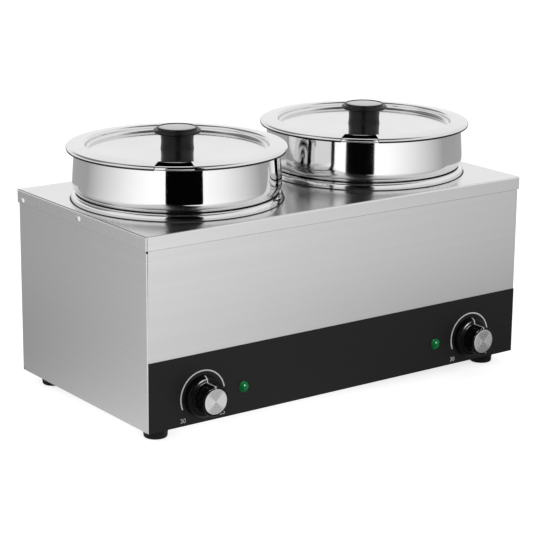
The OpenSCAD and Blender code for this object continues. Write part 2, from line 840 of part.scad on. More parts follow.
module cord_gland() {
    inner_l = gland_in_l + sheet_t;
    color([0.1, 0.1, 0.1]) translate([0, wrap_y, gland_z]) rotate([-90, 0, 0]) difference() {
        union() {
            cylinder(h = gland_hex_h, r = gland_hex_r, $fn = 6);
            cylinder(h = gland_reach, r = gland_cap_r);
            translate([0, 0, -inner_l]) cylinder(h = inner_l, r = gland_thread_r);
        }
        translate([0, 0, -inner_l - past])
            cylinder(h = inner_l + gland_reach + 2 * past, r = gland_bore_r);
    }
}

module gland_nut() {
    color([0.1, 0.1, 0.1]) translate([0, inner_y, gland_z]) rotate([90, 0, 0])
        nut(gland_hex_r, gland_nut_h, gland_thread_r + hole_gap);
}

// Live leads from the terminal block to the thermostats
module live_wires() {
    color("saddlebrown") for (s = sides) run([
        [s * terminal_pitch / 2 - live_x, block_face_y, wire_low_z],
        [s * terminal_pitch / 2 - live_x, block_turn_y, wire_low_z],
        [s * (control_x - lead_x), lead_turn_y, wire_low_z],
        [s * (control_x - lead_x), lead_turn_y, lead_z],
        [s * (control_x - lead_x), thermostat_back_y, lead_z]], wire_d);
}

// Switched leads from the thermostats to the outer ends of the elements
module switched_wires() {
    color("firebrick") for (s = sides) run([
        [s * (control_x + lead_x), thermostat_back_y, lead_z],
        [s * (control_x + lead_x), lead_turn_y, lead_z],
        [s * (pot_pitch / 2 + element_end_x), element_end_y, wire_mid_z],
        [s * (pot_pitch / 2 + element_end_x), element_end_y, element_pin_z]], wire_d);
}

// Neutral leads from the inner ends of the elements to the terminal block
module neutral_wires() {
    color("royalblue") for (s = sides) run([
        [s * terminal_pitch / 2 + neutral_x, block_face_y, wire_mid_z],
        [s * terminal_pitch / 2 + neutral_x, element_end_y, wire_mid_z],
        [s * (pot_pitch / 2 - element_end_x), element_end_y, wire_mid_z],
        [s * (pot_pitch / 2 - element_end_x), element_end_y, element_pin_z]], wire_d);
}

// Leads from the pilot lamps to the thermostats
module lamp_feed_wires() {
    join_x = thermostat_r + lap_gap - control_x;
    color("firebrick") for (flip = [0, 1]) mirror([flip, 0, 0]) run([
        [-lamp_x - lamp_lead_x, lamp_back_y, lamp_axis_z],
        [-lamp_x - lamp_lead_x, lamp_turn_y, lamp_axis_z],
        [join_x + lamp_bend, lamp_turn_y, lamp_axis_z],
        [join_x + lamp_bend, lamp_join_y, lamp_axis_z],
        [join_x, lamp_join_y, lamp_axis_z]], wire_d);
}

// Leads from the pilot lamps to the terminal block
module lamp_return_wires() {
    color("royalblue") for (flip = [0, 1]) mirror([flip, 0, 0]) run([
        [lamp_lead_x - lamp_x, lamp_back_y, lamp_axis_z],
        [lamp_lead_x - lamp_x, lamp_turn_y, lamp_axis_z],
        [lamp_lead_x - lamp_x, lamp_turn_y, wire_high_z],
        [-lamp_wire_x, block_turn_y, wire_high_z],
        [-lamp_wire_x, block_face_y, wire_high_z]], wire_d);
}

// Pots and lids
module pot(s) {
    floor_r = pot_r - pot_corner_r;
    color("whitesmoke") at_pot(s) rotate_extrude() {
        bar(0, floor_r, pot_floor_z, pot_floor_z + pot_t);
        translate([floor_r, pot_floor_z + pot_corner_r]) ring_arc(pot_corner_r, pot_t, 270, 360);
        bar(pot_r - pot_t, pot_r, pot_floor_z + pot_corner_r, shoulder_z + pot_t);
        bar(pot_r - pot_t, shoulder_mid_r, shoulder_z, shoulder_z + pot_t);
        translate([shoulder_mid_r, shoulder_mid_z]) ring_arc(shoulder_r, pot_t, 270, 360);
        polygon([
            [belly_r - pot_t, shoulder_mid_z], [belly_r, shoulder_mid_z],
            [pot_top_r, rim_z], [pot_top_r - pot_t, rim_z]]);
        bar(pot_top_r - pot_t, rim_flat_r, rim_z - pot_t, rim_z);
        translate([rim_flat_r, rim_z - rim_r]) ring_arc(rim_r, pot_t, 0, 90);
        bar(rim_end_r - pot_t, rim_end_r, rim_z - rim_r - pot_t, rim_z - rim_r);
    }
}
module pot_left() { pot(-1); }
module pot_right() { pot(1); }

module lid(s) {
    fillet_r = recess_bend_r + lid_t;
    floor_r = recess_r - recess_bend_r;
    color("white") at_pot(s) difference() {
        rotate_extrude() {
            bar(0, floor_r, lid_floor_z - lid_t, lid_floor_z);
            translate([floor_r, lid_floor_z + recess_bend_r]) ring_arc(fillet_r, lid_t, 270, 360);
            bar(recess_r, recess_r + lid_t, lid_floor_z + recess_bend_r, crest_z - recess_bend_r);
            translate([crest_r, crest_z - recess_bend_r]) ring_arc(recess_bend_r, lid_t, 90, 180);
            polygon([
                [crest_r, crest_z - lid_t], [edge_mid_r, edge_top_z - lid_t],
                [edge_mid_r, edge_top_z], [crest_r, crest_z]]);
            translate([edge_mid_r, edge_mid_z]) ring_arc(lid_edge_r, lid_t, 0, 90);
            translate([edge_mid_r, edge_mid_z]) intersection() {
                ring_arc(lid_edge_r, lid_t, 270, 360);
                bar(0, lid_edge_r + past, -lid_lip_h, 0);
            }
        }
        translate([0, 0, lid_floor_z - lid_t - past])
            cylinder(h = lid_t + 2 * past, r = lid_screw_r + hole_gap);
        rotate(s < 0 ? -notch_turn_left : -notch_turn_right) translate([0, 0, lip_z - past])
            linear_extrude(crest_z - lip_z + 2 * past) polygon([
                [-notch_in_w / 2, -notch_start], [notch_in_w / 2, -notch_start],
                [notch_out_w / 2, -lid_r - past], [-notch_out_w / 2, -lid_r - past]]);
    }
}
module lid_left() { lid(-1); }
module lid_right() { lid(1); }

module lid_knob(s) {
    cap_z = lid_knob_h - cap_disc_h - cap_t;
    base_r = stem_r + stem_flare;
    color([0.08, 0.08, 0.08]) at_pot(s) translate([0, 0, lid_floor_z]) difference() {
        rotate_extrude() {
            polygon([[0, 0], [base_r, 0], [stem_r, cap_z / 2], [base_r, cap_z], [0, cap_z]]);
            bar(0, cap_r - cap_t / 2, cap_z, cap_z + cap_t);
            translate([cap_r - cap_t / 2, cap_z + cap_t / 2]) circle(d = cap_t);
            bar(0, cap_disc_r, cap_z, lid_knob_h);
        }
        translate([0, 0, lid_knob_h - cap_top_dish])
            cylinder(h = cap_top_dish + past, r = cap_disc_r - cap_rim_w);
        translate([0, 0, -past])
            cylinder(h = lid_screw_bite + 2 * past, r = lid_screw_r + hole_gap);
    }
}
module lid_knob_left() { lid_knob(-1); }
module lid_knob_right() { lid_knob(1); }

module lid_screw(s) {
    color("silver") at_pot(s) translate([0, 0, lid_floor_z - lid_t]) mirror([0, 0, 1])
        domed_screw(lid_head_r, lid_head_h, lid_screw_r, lid_t + lid_screw_bite);
}
module lid_screw_left() { lid_screw(-1); }
module lid_screw_right() { lid_screw(1); }

// Thermostat knobs
module control_knob(s) {
    slope_z = dial_gap + dial_rim_h + dial_slope_h;
    cavity_r = dial_r - dial_wall;
    cavity_z = dial_gap + dial_rim_h + dial_slope_h / 2;
    bore_l = shaft_end - dial_gap + lap_gap;
    color([0.04, 0.04, 0.04]) at_front(s * control_x, strip_face_y, control_axis_z) difference() {
        rotate_extrude() polygon([
            [0, dial_gap], [dial_r, dial_gap], [dial_r, dial_gap + dial_rim_h],
            [grip_r + grip_edge, slope_z], [grip_r, slope_z + grip_edge],
            [grip_r, grip_front - grip_edge], [grip_r - grip_edge, grip_front], [0, grip_front]]);
        rotate_extrude() polygon([
            [hub_r, dial_gap - past], [cavity_r, dial_gap - past], [cavity_r, dial_gap + dial_rim_h / 2],
            [grip_r - dial_wall, cavity_z], [hub_r, cavity_z]]);
        for (i = [0 : flute_count - 1]) rotate(90 + (i + 0.5) * 360 / flute_count)
            translate([grip_r + flute_r - flute_depth, 0, slope_z + grip_edge + flute_rise])
                cylinder(h = knob_reach, r = flute_r);
        translate([0, 0, grip_front - disc_recess])
            cylinder(h = disc_recess + past, r = disc_r + hole_gap);
        translate([0, 0, dial_gap - past]) cylinder(h = bore_l + past, r = shaft_r + shaft_gap);
    }
}
module control_knob_left() { control_knob(-1); }
module control_knob_right() { control_knob(1); }

module knob_disc(s) {
    color("lightgray") at_front(s * control_x, strip_face_y, control_axis_z)
        translate([0, 0, grip_front - disc_recess]) cylinder(h = disc_recess + disc_proud, r = disc_r);
}
module knob_disc_left() { knob_disc(-1); }
module knob_disc_right() { knob_disc(1); }

module thermostat_shaft(s) {
    back = strip_t + sheet_t + shaft_in;
    color("silver") at_front(s * control_x, strip_face_y, control_axis_z)
        translate([0, 0, -back]) cylinder(h = back + shaft_end, r = shaft_r);
}
module thermostat_shaft_left() { thermostat_shaft(-1); }
module thermostat_shaft_right() { thermostat_shaft(1); }

body_wrapper();
control_strip();
back_panel();
base_plate();
top_deck();
deck_screws();
back_screws();
foot_front_left();
foot_front_right();
foot_back_left();
foot_back_right();
foot_screws();
foot_nuts();
well_left();
well_right();
element_left();
element_right();
element_clamp_left();
element_clamp_right();
clamp_nuts();
thermostat_left();
thermostat_right();
thermostat_screws();
bulb_left();
bulb_right();
bulb_clips();
pilot_lens_left();
pilot_lens_right();
pilot_body_left();
pilot_body_right();
terminal_block();
terminal_screws();
earth_stud();
cord_gland();
gland_nut();
live_wires();
switched_wires();
neutral_wires();
lamp_feed_wires();
lamp_return_wires();
pot_left();
pot_right();
lid_left();
lid_right();
lid_knob_left();
lid_knob_right();
lid_screw_left();
lid_screw_right();
control_knob_left();
control_knob_right();
knob_disc_left();
knob_disc_right();
thermostat_shaft_left();
thermostat_shaft_right();
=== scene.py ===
"""Looks of a twin-pot soup kettle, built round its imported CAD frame.

Sizes are in millimetres in the classes below and in metres in Blender. The origin is on the
table under the middle of the housing, +Z is up and the front faces -Y.
"""

from __future__ import annotations

import logging
import math
from dataclasses import dataclass, field
from enum import Enum
from typing import Any, Callable, Iterable, Optional, Sequence

import bmesh
import bpy
from mathutils import Euler, Matrix, Vector

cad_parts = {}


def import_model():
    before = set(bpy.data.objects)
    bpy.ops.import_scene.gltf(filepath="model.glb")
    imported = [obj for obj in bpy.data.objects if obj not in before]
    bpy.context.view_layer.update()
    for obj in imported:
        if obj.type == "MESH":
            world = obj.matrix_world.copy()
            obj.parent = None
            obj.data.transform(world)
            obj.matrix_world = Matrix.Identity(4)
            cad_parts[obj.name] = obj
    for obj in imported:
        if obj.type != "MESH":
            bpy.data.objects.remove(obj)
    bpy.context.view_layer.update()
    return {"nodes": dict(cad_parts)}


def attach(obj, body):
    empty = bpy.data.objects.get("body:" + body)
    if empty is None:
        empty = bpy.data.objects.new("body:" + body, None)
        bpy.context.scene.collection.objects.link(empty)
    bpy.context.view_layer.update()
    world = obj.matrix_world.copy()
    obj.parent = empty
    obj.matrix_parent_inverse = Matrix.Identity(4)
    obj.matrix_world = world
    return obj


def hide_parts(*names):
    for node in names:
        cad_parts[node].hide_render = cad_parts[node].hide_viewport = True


LOG = logging.getLogger("soup_kettle")
MM = 0.001
SMOOTH_ANGLE = math.radians(32)
ROUND_STEPS = 256
AXIS_R = 1e-6
WELD = 1e-4
LEVEL = (1.0, 1.0, 0.0)
POT_X = 122.0
STRIP_Y = -124.3
CONTROL_Z = 41.0

Point = tuple[float, float]
Triple = tuple[float, float, float]
Feeds = dict[Any, Any]
Socket = bpy.types.NodeSocket
Node = bpy.types.Node
Tree = bpy.types.NodeTree
Material = bpy.types.Material
Thing = bpy.types.Object
Shape = bmesh.types.BMesh


class Side(Enum):
    """One half of the twin unit, as seen from the front."""

    LEFT = -1
    RIGHT = 1

    @property
    def word(self) -> str:
        """The side's name in lower case."""
        return self.name.lower()


class Body(Enum):
    """What a piece moves with."""

    HOUSING = "housing"
    POT = "pot"
    LID = "lid"
    CONTROL = "control"

    def on(self, side: Side) -> str:
        """Name of the CAD body on one side."""
        return self.value if self is Body.HOUSING else f"{side.word}_{self.value}"


class Grain(Enum):
    """Run of the brush lines: how often they change along X, Y and Z, per metre."""

    ROUND_WALLS = (7.0, 7.0, 900.0)
    ALONG_DECK = (7.0, 900.0, 300.0)


def grey(tone: float) -> Triple:
    """A grey of that tone."""
    return tone, tone, tone


def emptied(owner: Material | bpy.types.World) -> Tree:
    """The node tree of a material or world, without nodes."""
    owner.use_nodes = True
    owner.node_tree.nodes.clear()
    return owner.node_tree


def entered(name: str, data: bpy.types.ID) -> Thing:
    """A new object in the scene with that data."""
    thing = bpy.data.objects.new(name, data)
    bpy.context.scene.collection.objects.link(thing)
    return thing


# Shader nodes


class Net:
    """Adds and joins the nodes of one tree."""

    def __init__(self, tree: Tree) -> None:
        """Takes the tree that gets the nodes."""
        self.tree = tree

    def feed(self, node: Node, feeds: Feeds) -> None:
        """Links or sets inputs of a node.

        Args:
            node: The node.
            feeds: Socket or plain value for each input, by name or number.
        """
        for key, value in feeds.items():
            if isinstance(value, Socket):
                self.tree.links.new(value, node.inputs[key])
            else:
                node.inputs[key].default_value = value

    def add(self, kind: str, feeds: Optional[Feeds] = None, **settings: Any) -> Node:
        """Adds a node and feeds its inputs.

        Args:
            kind: Type of the node, without its first words.
            feeds: Socket or plain value for each input.
            settings: Values of the node's own settings.

        Returns:
            The node.
        """
        node = self.tree.nodes.new(f"ShaderNode{kind}")
        for key, value in settings.items():
            setattr(node, key, value)
        self.feed(node, feeds or {})
        return node

    def math(self, kind: str, *values: Socket | float) -> Socket:
        """Result of a math node on its values."""
        return self.add("Math", dict(enumerate(values)), operation=kind).outputs[0]

    def vector(self, kind: str, feeds: Feeds, out: str = "Vector") -> Socket:
        """Result of a vector math node."""
        return self.add("VectorMath", feeds, operation=kind).outputs[out]

    def axes(self, place: Socket) -> tuple[Socket, ...]:
        """X, Y and Z of a place or direction."""
        return tuple(self.add("SeparateXYZ", {0: place}).outputs)

    def noise(self, place: Socket, scale: float, detail: float) -> Socket:
        """Value of a noise texture at a place."""
        feeds = {"Vector": place, "Scale": scale, "Detail": detail}
        return self.add("TexNoise", feeds).outputs["Fac"]

    def mixed(self, mask: Socket, first: Socket, second: Socket) -> Socket:
        """Two shaders mixed by a mask."""
        return self.add("MixShader", {0: mask, 1: first, 2: second}).outputs[0]

    def ramp(self, value: Socket, start: Point, end: Point, kind: str = "LINEAR") -> Socket:
        """Maps a range to another, with start and end as pairs of a value and its result."""
        (low, new_low), (high, new_high) = start, end
        return self.add("MapRange", {"Value": value, "From Min": low, "From Max": high,
                                     "To Min": new_low, "To Max": new_high},
                        interpolation_type=kind).outputs[0]

    def bearing(self, place: Socket, towards: Triple) -> Socket:
        """Cosine of the angle between the level bearing of a place and a level direction."""
        level = self.vector("NORMALIZE", {0: self.vector("MULTIPLY", {0: place, 1: LEVEL})})
        return self.vector("DOT_PRODUCT", {0: level, 1: towards}, "Value")


class Effects:
    """Node groups that put out masks and heights which change over the surface."""

    level_from = 0.7

    @staticmethod
    def start(name: str, **inputs: str) -> tuple[Net, bpy.types.NodeOutputs]:
        """Opens a new group that starts from a Vector.

        Args:
            name: Name of the group.
            inputs: Socket type of each further input.

        Returns:
            The group's nodes and the sockets of its inputs.
        """
        tree = bpy.data.node_groups.new(name, "ShaderNodeTree")
        for label, kind in {"Vector": "Vector", **inputs}.items():
            tree.interface.new_socket(label, in_out="INPUT", socket_type=f"NodeSocket{kind}")
        return Net(tree), tree.nodes.new("NodeGroupInput").outputs

    @classmethod
    def sized(cls, name: str) -> tuple[Net, Socket]:
        """Opens a new group with a Size, and gives its nodes and the scaled place."""
        net, given = cls.start(name, Size="Float")
        return net, net.vector("SCALE", {0: given["Vector"], "Scale": given["Size"]})

    @staticmethod
    def end(net: Net, **values: Socket) -> Tree:
        """Gives a group its float outputs.

        Args:
            net: The group's nodes.
            values: Socket that feeds each output.

        Returns:
            The group.
        """
        for label in values:
            net.tree.interface.new_socket(label, in_out="OUTPUT", socket_type="NodeSocketFloat")
        net.feed(net.tree.nodes.new("NodeGroupOutput"), values)
        return net.tree

    @classmethod
    def get(cls, name: str) -> Tree:
        """A group by name, built on first use."""
        return bpy.data.node_groups.get(name) or getattr(cls, name)()

    @classmethod
    def brush_lines(cls) -> Tree:
        """Long thin lines of a brushed sheet: Tone in broad streaks and Height in fine ones."""
        net, given = cls.start("brush_lines", Stretch="Vector")
        place = net.vector("MULTIPLY", {0: given["Vector"], 1: given["Stretch"]})
        fine, broad = net.noise(place, 1.0, 3.0), net.noise(place, 0.22, 2.0)
        tone = net.math("MULTIPLY", net.math("ADD", fine, broad), 0.5)
        return cls.end(net, Tone=tone, Height=fine)

    @classmethod
    def level_faces(cls) -> Tree:
        """Mask of the faces that lie level."""
        net, given = cls.start("level_faces")
        upward = net.math("ABSOLUTE", net.axes(given["Vector"])[2])
        return cls.end(net, Mask=net.math("GREATER_THAN", upward, cls.level_from))

    @classmethod
    def cloud(cls) -> Tree:
        """Soft uneven patches, for polish, handling marks and mould flow."""
        net, place = cls.sized("cloud")
        return cls.end(net, Mask=net.noise(place, 1.0, 4.0))

    @classmethod
    def speckle(cls) -> Tree:
        """Fine even grain of a moulded or textured surface."""
        net, place = cls.sized("speckle")
        cells = net.add("TexVoronoi", {"Vector": place, "Scale": 1.0}).outputs["Distance"]
        return cls.end(net, Mask=net.noise(place, 0.35, 3.0), Height=cells)

    @classmethod
    def turned(cls) -> Tree:
        """Fine rings of turning round an axis as Height, and soft rays of painted sheen round it.
        """
        net, given = cls.start("turned", Rings="Float", Rays="Float")
        x, y, _ = net.axes(given["Vector"])
        square = net.math("ADD", net.math("MULTIPLY", x, x), net.math("MULTIPLY", y, y))
        ring = net.math("MULTIPLY", net.math("SQRT", square), given["Rings"])
        rings = net.add("CombineXYZ", {"X": ring}).outputs[0]
        # Soft light and dark rays round the axis: painted sheen of turned metal.
        turn = net.math("MULTIPLY", net.math("ARCTAN2", y, x), given["Rays"])
        sheen = net.math("MULTIPLY_ADD", net.math("COSINE", turn), 0.5, 0.5)
        return cls.end(net, Height=net.noise(rings, 1.0, 2.0), Sector=sheen)


class Shader(Net):
    """One material's nodes, round its Principled shader."""

    mask_low, mask_high = 0.3, 0.7

    def __init__(self, name: str) -> None:
        """Opens an empty material of that name."""
        self.material = bpy.data.materials.new(name)
        super().__init__(emptied(self.material))
        self.bsdf = self.add("BsdfPrincipled")
        self.add("OutputMaterial", {"Surface": self.bsdf.outputs[0]})
        self.place = self.add("TexCoord").outputs["Object"]

    def set(self, **feeds: Socket | float) -> None:
        """Feeds inputs of the shader, named with _ for a space."""
        self.feed(self.bsdf, {key.replace("_", " "): value for key, value in feeds.items()})

    def effect(self, name: str, origin: Optional[Matrix] = None,
               **feeds: Socket | float | Triple) -> bpy.types.NodeOutputs:
        """Places a shared effect in this material.

        Args:
            name: Name of the effect's group.
            origin: Turn and place of the effect's own axes, if not the frame's.
            feeds: Sockets or values of the group's inputs.

        Returns:
            The effect's outputs.
        """
        place = self.place
        if origin is not None:
            axes = {"Vector": place, "Location": origin.to_translation(),
                    "Rotation": origin.to_euler()}
            place = self.add("Mapping", axes, vector_type="TEXTURE").outputs[0]
        group = Effects.get(name)
        return self.add("Group", {"Vector": place, **feeds}, node_tree=group).outputs

    def spread(self, mask: Socket, low: float, high: float) -> Socket:
        """Turns a mask into a value between two limits."""
        return self.ramp(mask, (self.mask_low, low), (self.mask_high, high))

    def tint(self, mask: Socket, dark: Triple, light: Triple) -> None:
        """Colours the surface from dark to light by a mask."""
        feeds = {"Factor": self.spread(mask, 0.0, 1.0), "A": (*dark, 1.0), "B": (*light, 1.0)}
        self.set(Base_Color=self.add("Mix", feeds, data_type="RGBA").outputs["Result"])

    def bump(self, height: Socket, strength: float, depth: float) -> None:
        """Raises the surface by a height, to a depth in metres."""
        feeds = {"Height": height, "Strength": strength, "Distance": depth}
        self.set(Normal=self.add("Bump", feeds).outputs[0])


# Finishes


@dataclass(frozen=True)
class Finish:
    """A surface finish with its own material, and its two colours and roughnesses."""

    name: str
    dark: Triple
    light: Triple
    rough: Point

    def material(self) -> Material:
        """The finish's material, made on first use."""
        name = f"{self.name}_finish"
        if name not in bpy.data.materials:
            self.mix(Shader(name))
        return bpy.data.materials[name]

    def vary(self, shader: Shader, tone: Socket, wear: Socket) -> None:
        """Colours the surface by one mask and roughens it by another."""
        shader.tint(tone, self.dark, self.light)
        shader.set(Roughness=shader.spread(wear, *self.rough))

    def mix(self, shader: Shader) -> None:
        """Fills the material's nodes."""
        raise NotImplementedError


@dataclass(frozen=True)
class BrushedSteel(Finish):
    """Stainless sheet with brush lines one way."""

    rough: Point = (0.33, 0.27)
    grain: Grain = Grain.ROUND_WALLS
    level_polish: float = 0.0
    lines: float = 0.015
    depth: float = 0.0002

    def mix(self, shader: Shader) -> None:
        """Streaked tone and roughness with fine raised lines, and smoother where it lies level."""
        lines = shader.effect("brush_lines", Stretch=self.grain.value)
        rough = shader.spread(lines["Tone"], *self.rough)
        if self.level_polish:
            normal = shader.add("NewGeometry").outputs["Normal"]
            level = shader.effect("level_faces", Vector=normal)["Mask"]
            less = shader.math("MULTIPLY", level, self.level_polish)
            rough = shader.math("SUBTRACT", rough, less)
        shader.tint(lines["Tone"], self.dark, self.light)
        shader.set(Metallic=1.0, Roughness=rough)
        shader.bump(lines["Height"], self.lines, self.depth)


@dataclass(frozen=True)
class PolishedSteel(Finish):
    """Bright steel with soft patches left by the polishing wheel."""

    dark: Triple = (0.76, 0.76, 0.765)
    light: Triple = grey(0.82)
    rough: Point = (0.03, 0.09)
    patch: float = 14.0

    def mix(self, shader: Shader) -> None:
        """Slightly uneven colour and polish."""
        mask = shader.effect("cloud", Size=self.patch)["Mask"]
        self.vary(shader, mask, mask)
        shader.set(Metallic=1.0)


@dataclass(frozen=True)
class BareMetal(PolishedSteel):
    """Plain metal of an inner piece, with tarnish in patches."""

    dark: Triple = (0.3, 0.3, 0.29)
    light: Triple = (0.42, 0.42, 0.4)
    rough: Point = (0.25, 0.45)
    patch: float = 60.0


@dataclass(frozen=True)
class TurnedMetal(Finish):
    """Metal face on the front, turned about its own axis at a place in metres."""

    dark: Triple = grey(0.5)
    light: Triple = grey(0.74)
    rough: Point = (0.22, 0.32)
    at: Triple = (0.0, 0.0, 0.0)
    rings: float = 2600.0
    rays: float = 2.0
    groove: float = 0.12
    depth: float = 0.0001

    def mix(self, shader: Shader) -> None:
        """Fine rings with soft light and dark rays of painted sheen."""
        marks = shader.effect("turned", facing_front(*self.at), Rings=self.rings, Rays=self.rays)
        # Colour follows the rays of painted sheen, and roughness the turned rings.
        self.vary(shader, marks["Sector"], marks["Height"])
        shader.set(Metallic=1.0)
        shader.bump(marks["Height"], self.groove, self.depth)


@dataclass(frozen=True)
class Moulded(Finish):
    """Plastic or rubber with the grain of its mould."""

    rough: Point = (0.35, 0.5)
    grain: float = 2500.0
    relief: float = 0.08
    specular: float = 0.5
    coat: float = 0.0
    coat_rough: float = 0.05
    depth: float = 0.0001

    def mix(self, shader: Shader) -> None:
        """Slightly uneven colour over a fine mould grain."""
        grain = shader.effect("speckle", Size=self.grain)
        self.vary(shader, grain["Mask"], grain["Mask"])
        shader.set(Specular_IOR_Level=self.specular)
        if self.coat:
            shader.set(Coat_Weight=self.coat, Coat_Roughness=self.coat_rough)
        shader.bump(grain["Height"], self.relief, self.depth)


@dataclass(frozen=True)
class LampLens(Finish):
    """Clear coloured lens of a pilot lamp."""

    dark: Triple = (0.0, 0.15, 0.03)
    light: Triple = (0.0, 0.24, 0.055)
    rough: Point = (0.25, 0.25)
    patch: float = 260.0
    specular: float = 0.09

    def mix(self, shader: Shader) -> None:
        """Deep colour under a glossy skin."""
        mask = shader.effect("cloud", Size=self.patch)["Mask"]
        self.vary(shader, mask, mask)
        shader.set(Specular_IOR_Level=self.specular)


HOUSING_STEEL = BrushedSteel("housing_steel", grey(0.7), grey(0.73))
DECK_STEEL = BrushedSteel(
    "deck_steel", grey(0.71), grey(0.75), (0.3, 0.26), Grain.ALONG_DECK, 0.07, 0.012)
POT_STEEL = PolishedSteel("pot_steel")
LID_STEEL = PolishedSteel("lid_steel", grey(0.68), grey(0.74), (0.06, 0.12))
# Near-black steel for the lid's curled lip: painted shade, a dark line of shadow and reflection
# under the lid's edge.
LIP_PAINTED_SHADE = PolishedSteel("lip_painted_shade", grey(0.035), grey(0.055), (0.12, 0.2))
WELL_STEEL = PolishedSteel("well_steel", grey(0.7), grey(0.76), (0.06, 0.12))
SCREW_STEEL = PolishedSteel("screw_steel", rough=(0.1, 0.2), patch=300.0)
STRIP_BLACK = Moulded("strip_black", grey(0.007), grey(0.011), (0.42, 0.55), 1800.0, 0.1, 0.22)
DIAL_BLACK = Moulded("dial_black", grey(0.003), grey(0.005), (0.16, 0.22), 900.0, 0.01, 0.08)
LID_KNOB_BLACK = Moulded(
    "lid_knob_black", grey(0.005), grey(0.009), (0.3, 0.38), 1400.0, 0.02, 0.3)
KNOB_INSERT = Moulded(
    "knob_insert", grey(0.03), grey(0.045), (0.2, 0.3), 1400.0, 0.02, 1.0, coat=1.0)
FOOT_RUBBER = Moulded("foot_rubber", grey(0.004), grey(0.007), (0.5, 0.65), 1500.0, 0.12, 0.2)
# Black of the ring under each pot: painted shadow of the gap between the pot's shoulder and the
# well bead.
SHADOW_RING_BLACK = Moulded("rest_black", grey(0.003), grey(0.006), (0.5, 0.65), 1500.0, 0.05, 0.1)
# Grey of the beads under the skirt and round the wells: painted shadow of the joint gaps.
SEAM_SHADOW_GREY = Moulded("seam_shadow_grey", grey(0.03), grey(0.05), (0.45, 0.6), 1500.0, 0.05, 0.2)
GLAND_NYLON = Moulded("gland_nylon", grey(0.014), grey(0.024), (0.4, 0.5))
PRINT_WHITE = Moulded("print_white", grey(0.66), grey(0.76), (0.4, 0.5), 1200.0, 0.02)
LENS_GREEN = LampLens("lens_green")
LAMP_CASE = Moulded("lamp_case", (0.02, 0.06, 0.03), (0.03, 0.09, 0.05))
CASE_GREY = Moulded("thermostat_case", grey(0.09), grey(0.13))
BLOCK_IVORY = Moulded("terminal_block", (0.62, 0.58, 0.46), (0.72, 0.68, 0.56))
WIRE_BROWN = Moulded("live_wire", (0.1, 0.035, 0.015), (0.14, 0.05, 0.02))
WIRE_RED = Moulded("switched_wire", (0.32, 0.015, 0.015), (0.42, 0.025, 0.025))
WIRE_BLUE = Moulded("neutral_wire", (0.02, 0.06, 0.3), (0.03, 0.09, 0.4))
ELEMENT_STEEL = BareMetal("element_steel", (0.13, 0.12, 0.11), (0.24, 0.22, 0.2))
STRAP_STEEL = BareMetal("strap_steel")
BULB_COPPER = BareMetal("bulb_copper", (0.5, 0.21, 0.1), (0.68, 0.33, 0.18))
STUD_BRASS = BareMetal("earth_brass", (0.55, 0.4, 0.15), (0.72, 0.55, 0.25))


# Mesh making


def on_circle(angle: float, radius: float, middle: Point = (0.0, 0.0)) -> Point:
    """Point at an angle in degrees on a circle."""
    turn = math.radians(angle)
    return middle[0] + radius * math.cos(turn), middle[1] + radius * math.sin(turn)


def arc(middle: Point, radius: float, start: float, end: float, steps: int = 8) -> list[Point]:
    """Points of a circular bend between two angles in degrees, both ends included."""
    angles = [start + (end - start) * i / steps for i in range(steps + 1)]
    return [on_circle(angle, radius, middle) for angle in angles]


def lathe(outline: Sequence[Point], segments: int,
          swell: Optional[Callable[[float, int], float]] = None) -> Shape:
    """Turns an outline about Z.

    Args:
        outline: Radius and height of each point, from axis to axis.
        segments: Steps round the axis.
        swell: Change of radius for an angle and a point's number.

    Returns:
        The closed turned mesh, in millimetres.
    """
    mesh = bmesh.new()
    rings = []
    for number, (radius, height) in enumerate(outline):
        ring = []
        for step in range(segments if radius > AXIS_R else 1):
            angle = 2 * math.pi * step / segments
            r = radius + (swell(angle, number) if swell else 0.0)
            ring.append(mesh.verts.new((r * math.cos(angle), r * math.sin(angle), height)))
        rings.append(ring)
    for low, high in zip(rings, rings[1:]):
        for step in range(segments):
            after = (step + 1) % segments
            if len(low) == 1:
                mesh.faces.new((low[0], high[after], high[step]))
            elif len(high) == 1:
                mesh.faces.new((low[step], low[after], high[0]))
            else:
                mesh.faces.new((low[step], low[after], high[after], high[step]))
    bmesh.ops.recalc_face_normals(mesh, faces=mesh.faces)
    return mesh


def tube(rows: Sequence[Sequence[Vector | Triple]], ring: bool = False) -> Shape:
    """Joins rows of corners into a closed mesh.

    Args:
        rows: Corners of each row, in the same order.
        ring: Whether the last row joins the first. If not, both ends get a face.

    Returns:
        The mesh, in millimetres.
    """
    mesh = bmesh.new()
    loops = [[mesh.verts.new(corner) for corner in row] for row in rows]
    if not ring:
        mesh.faces.new(loops[0])
        mesh.faces.new(loops[-1])
    for a, b in zip(loops, loops[1:] + (loops[:1] if ring else [])):
        for i in range(len(a)):
            j = (i + 1) % len(a)
            mesh.faces.new((a[i], a[j], b[j], b[i]))
    bmesh.ops.recalc_face_normals(mesh, faces=mesh.faces)
    return mesh


def plate(edge: Sequence[Point], low: float, high: float) -> Shape:
    """A flat plate from an outline, between two heights."""
    return tube([[(x, y, z) for x, y in edge] for z in (low, high)])


def hoop(section: Sequence[Point]) -> Shape:
    """Turns a closed section about Z, from the radius and height of each corner."""
    turns = [on_circle(360 * step / ROUND_STEPS, 1.0) for step in range(ROUND_STEPS)]
    return tube([[(r * x, r * y, z) for r, z in section] for x, y in turns], ring=True)


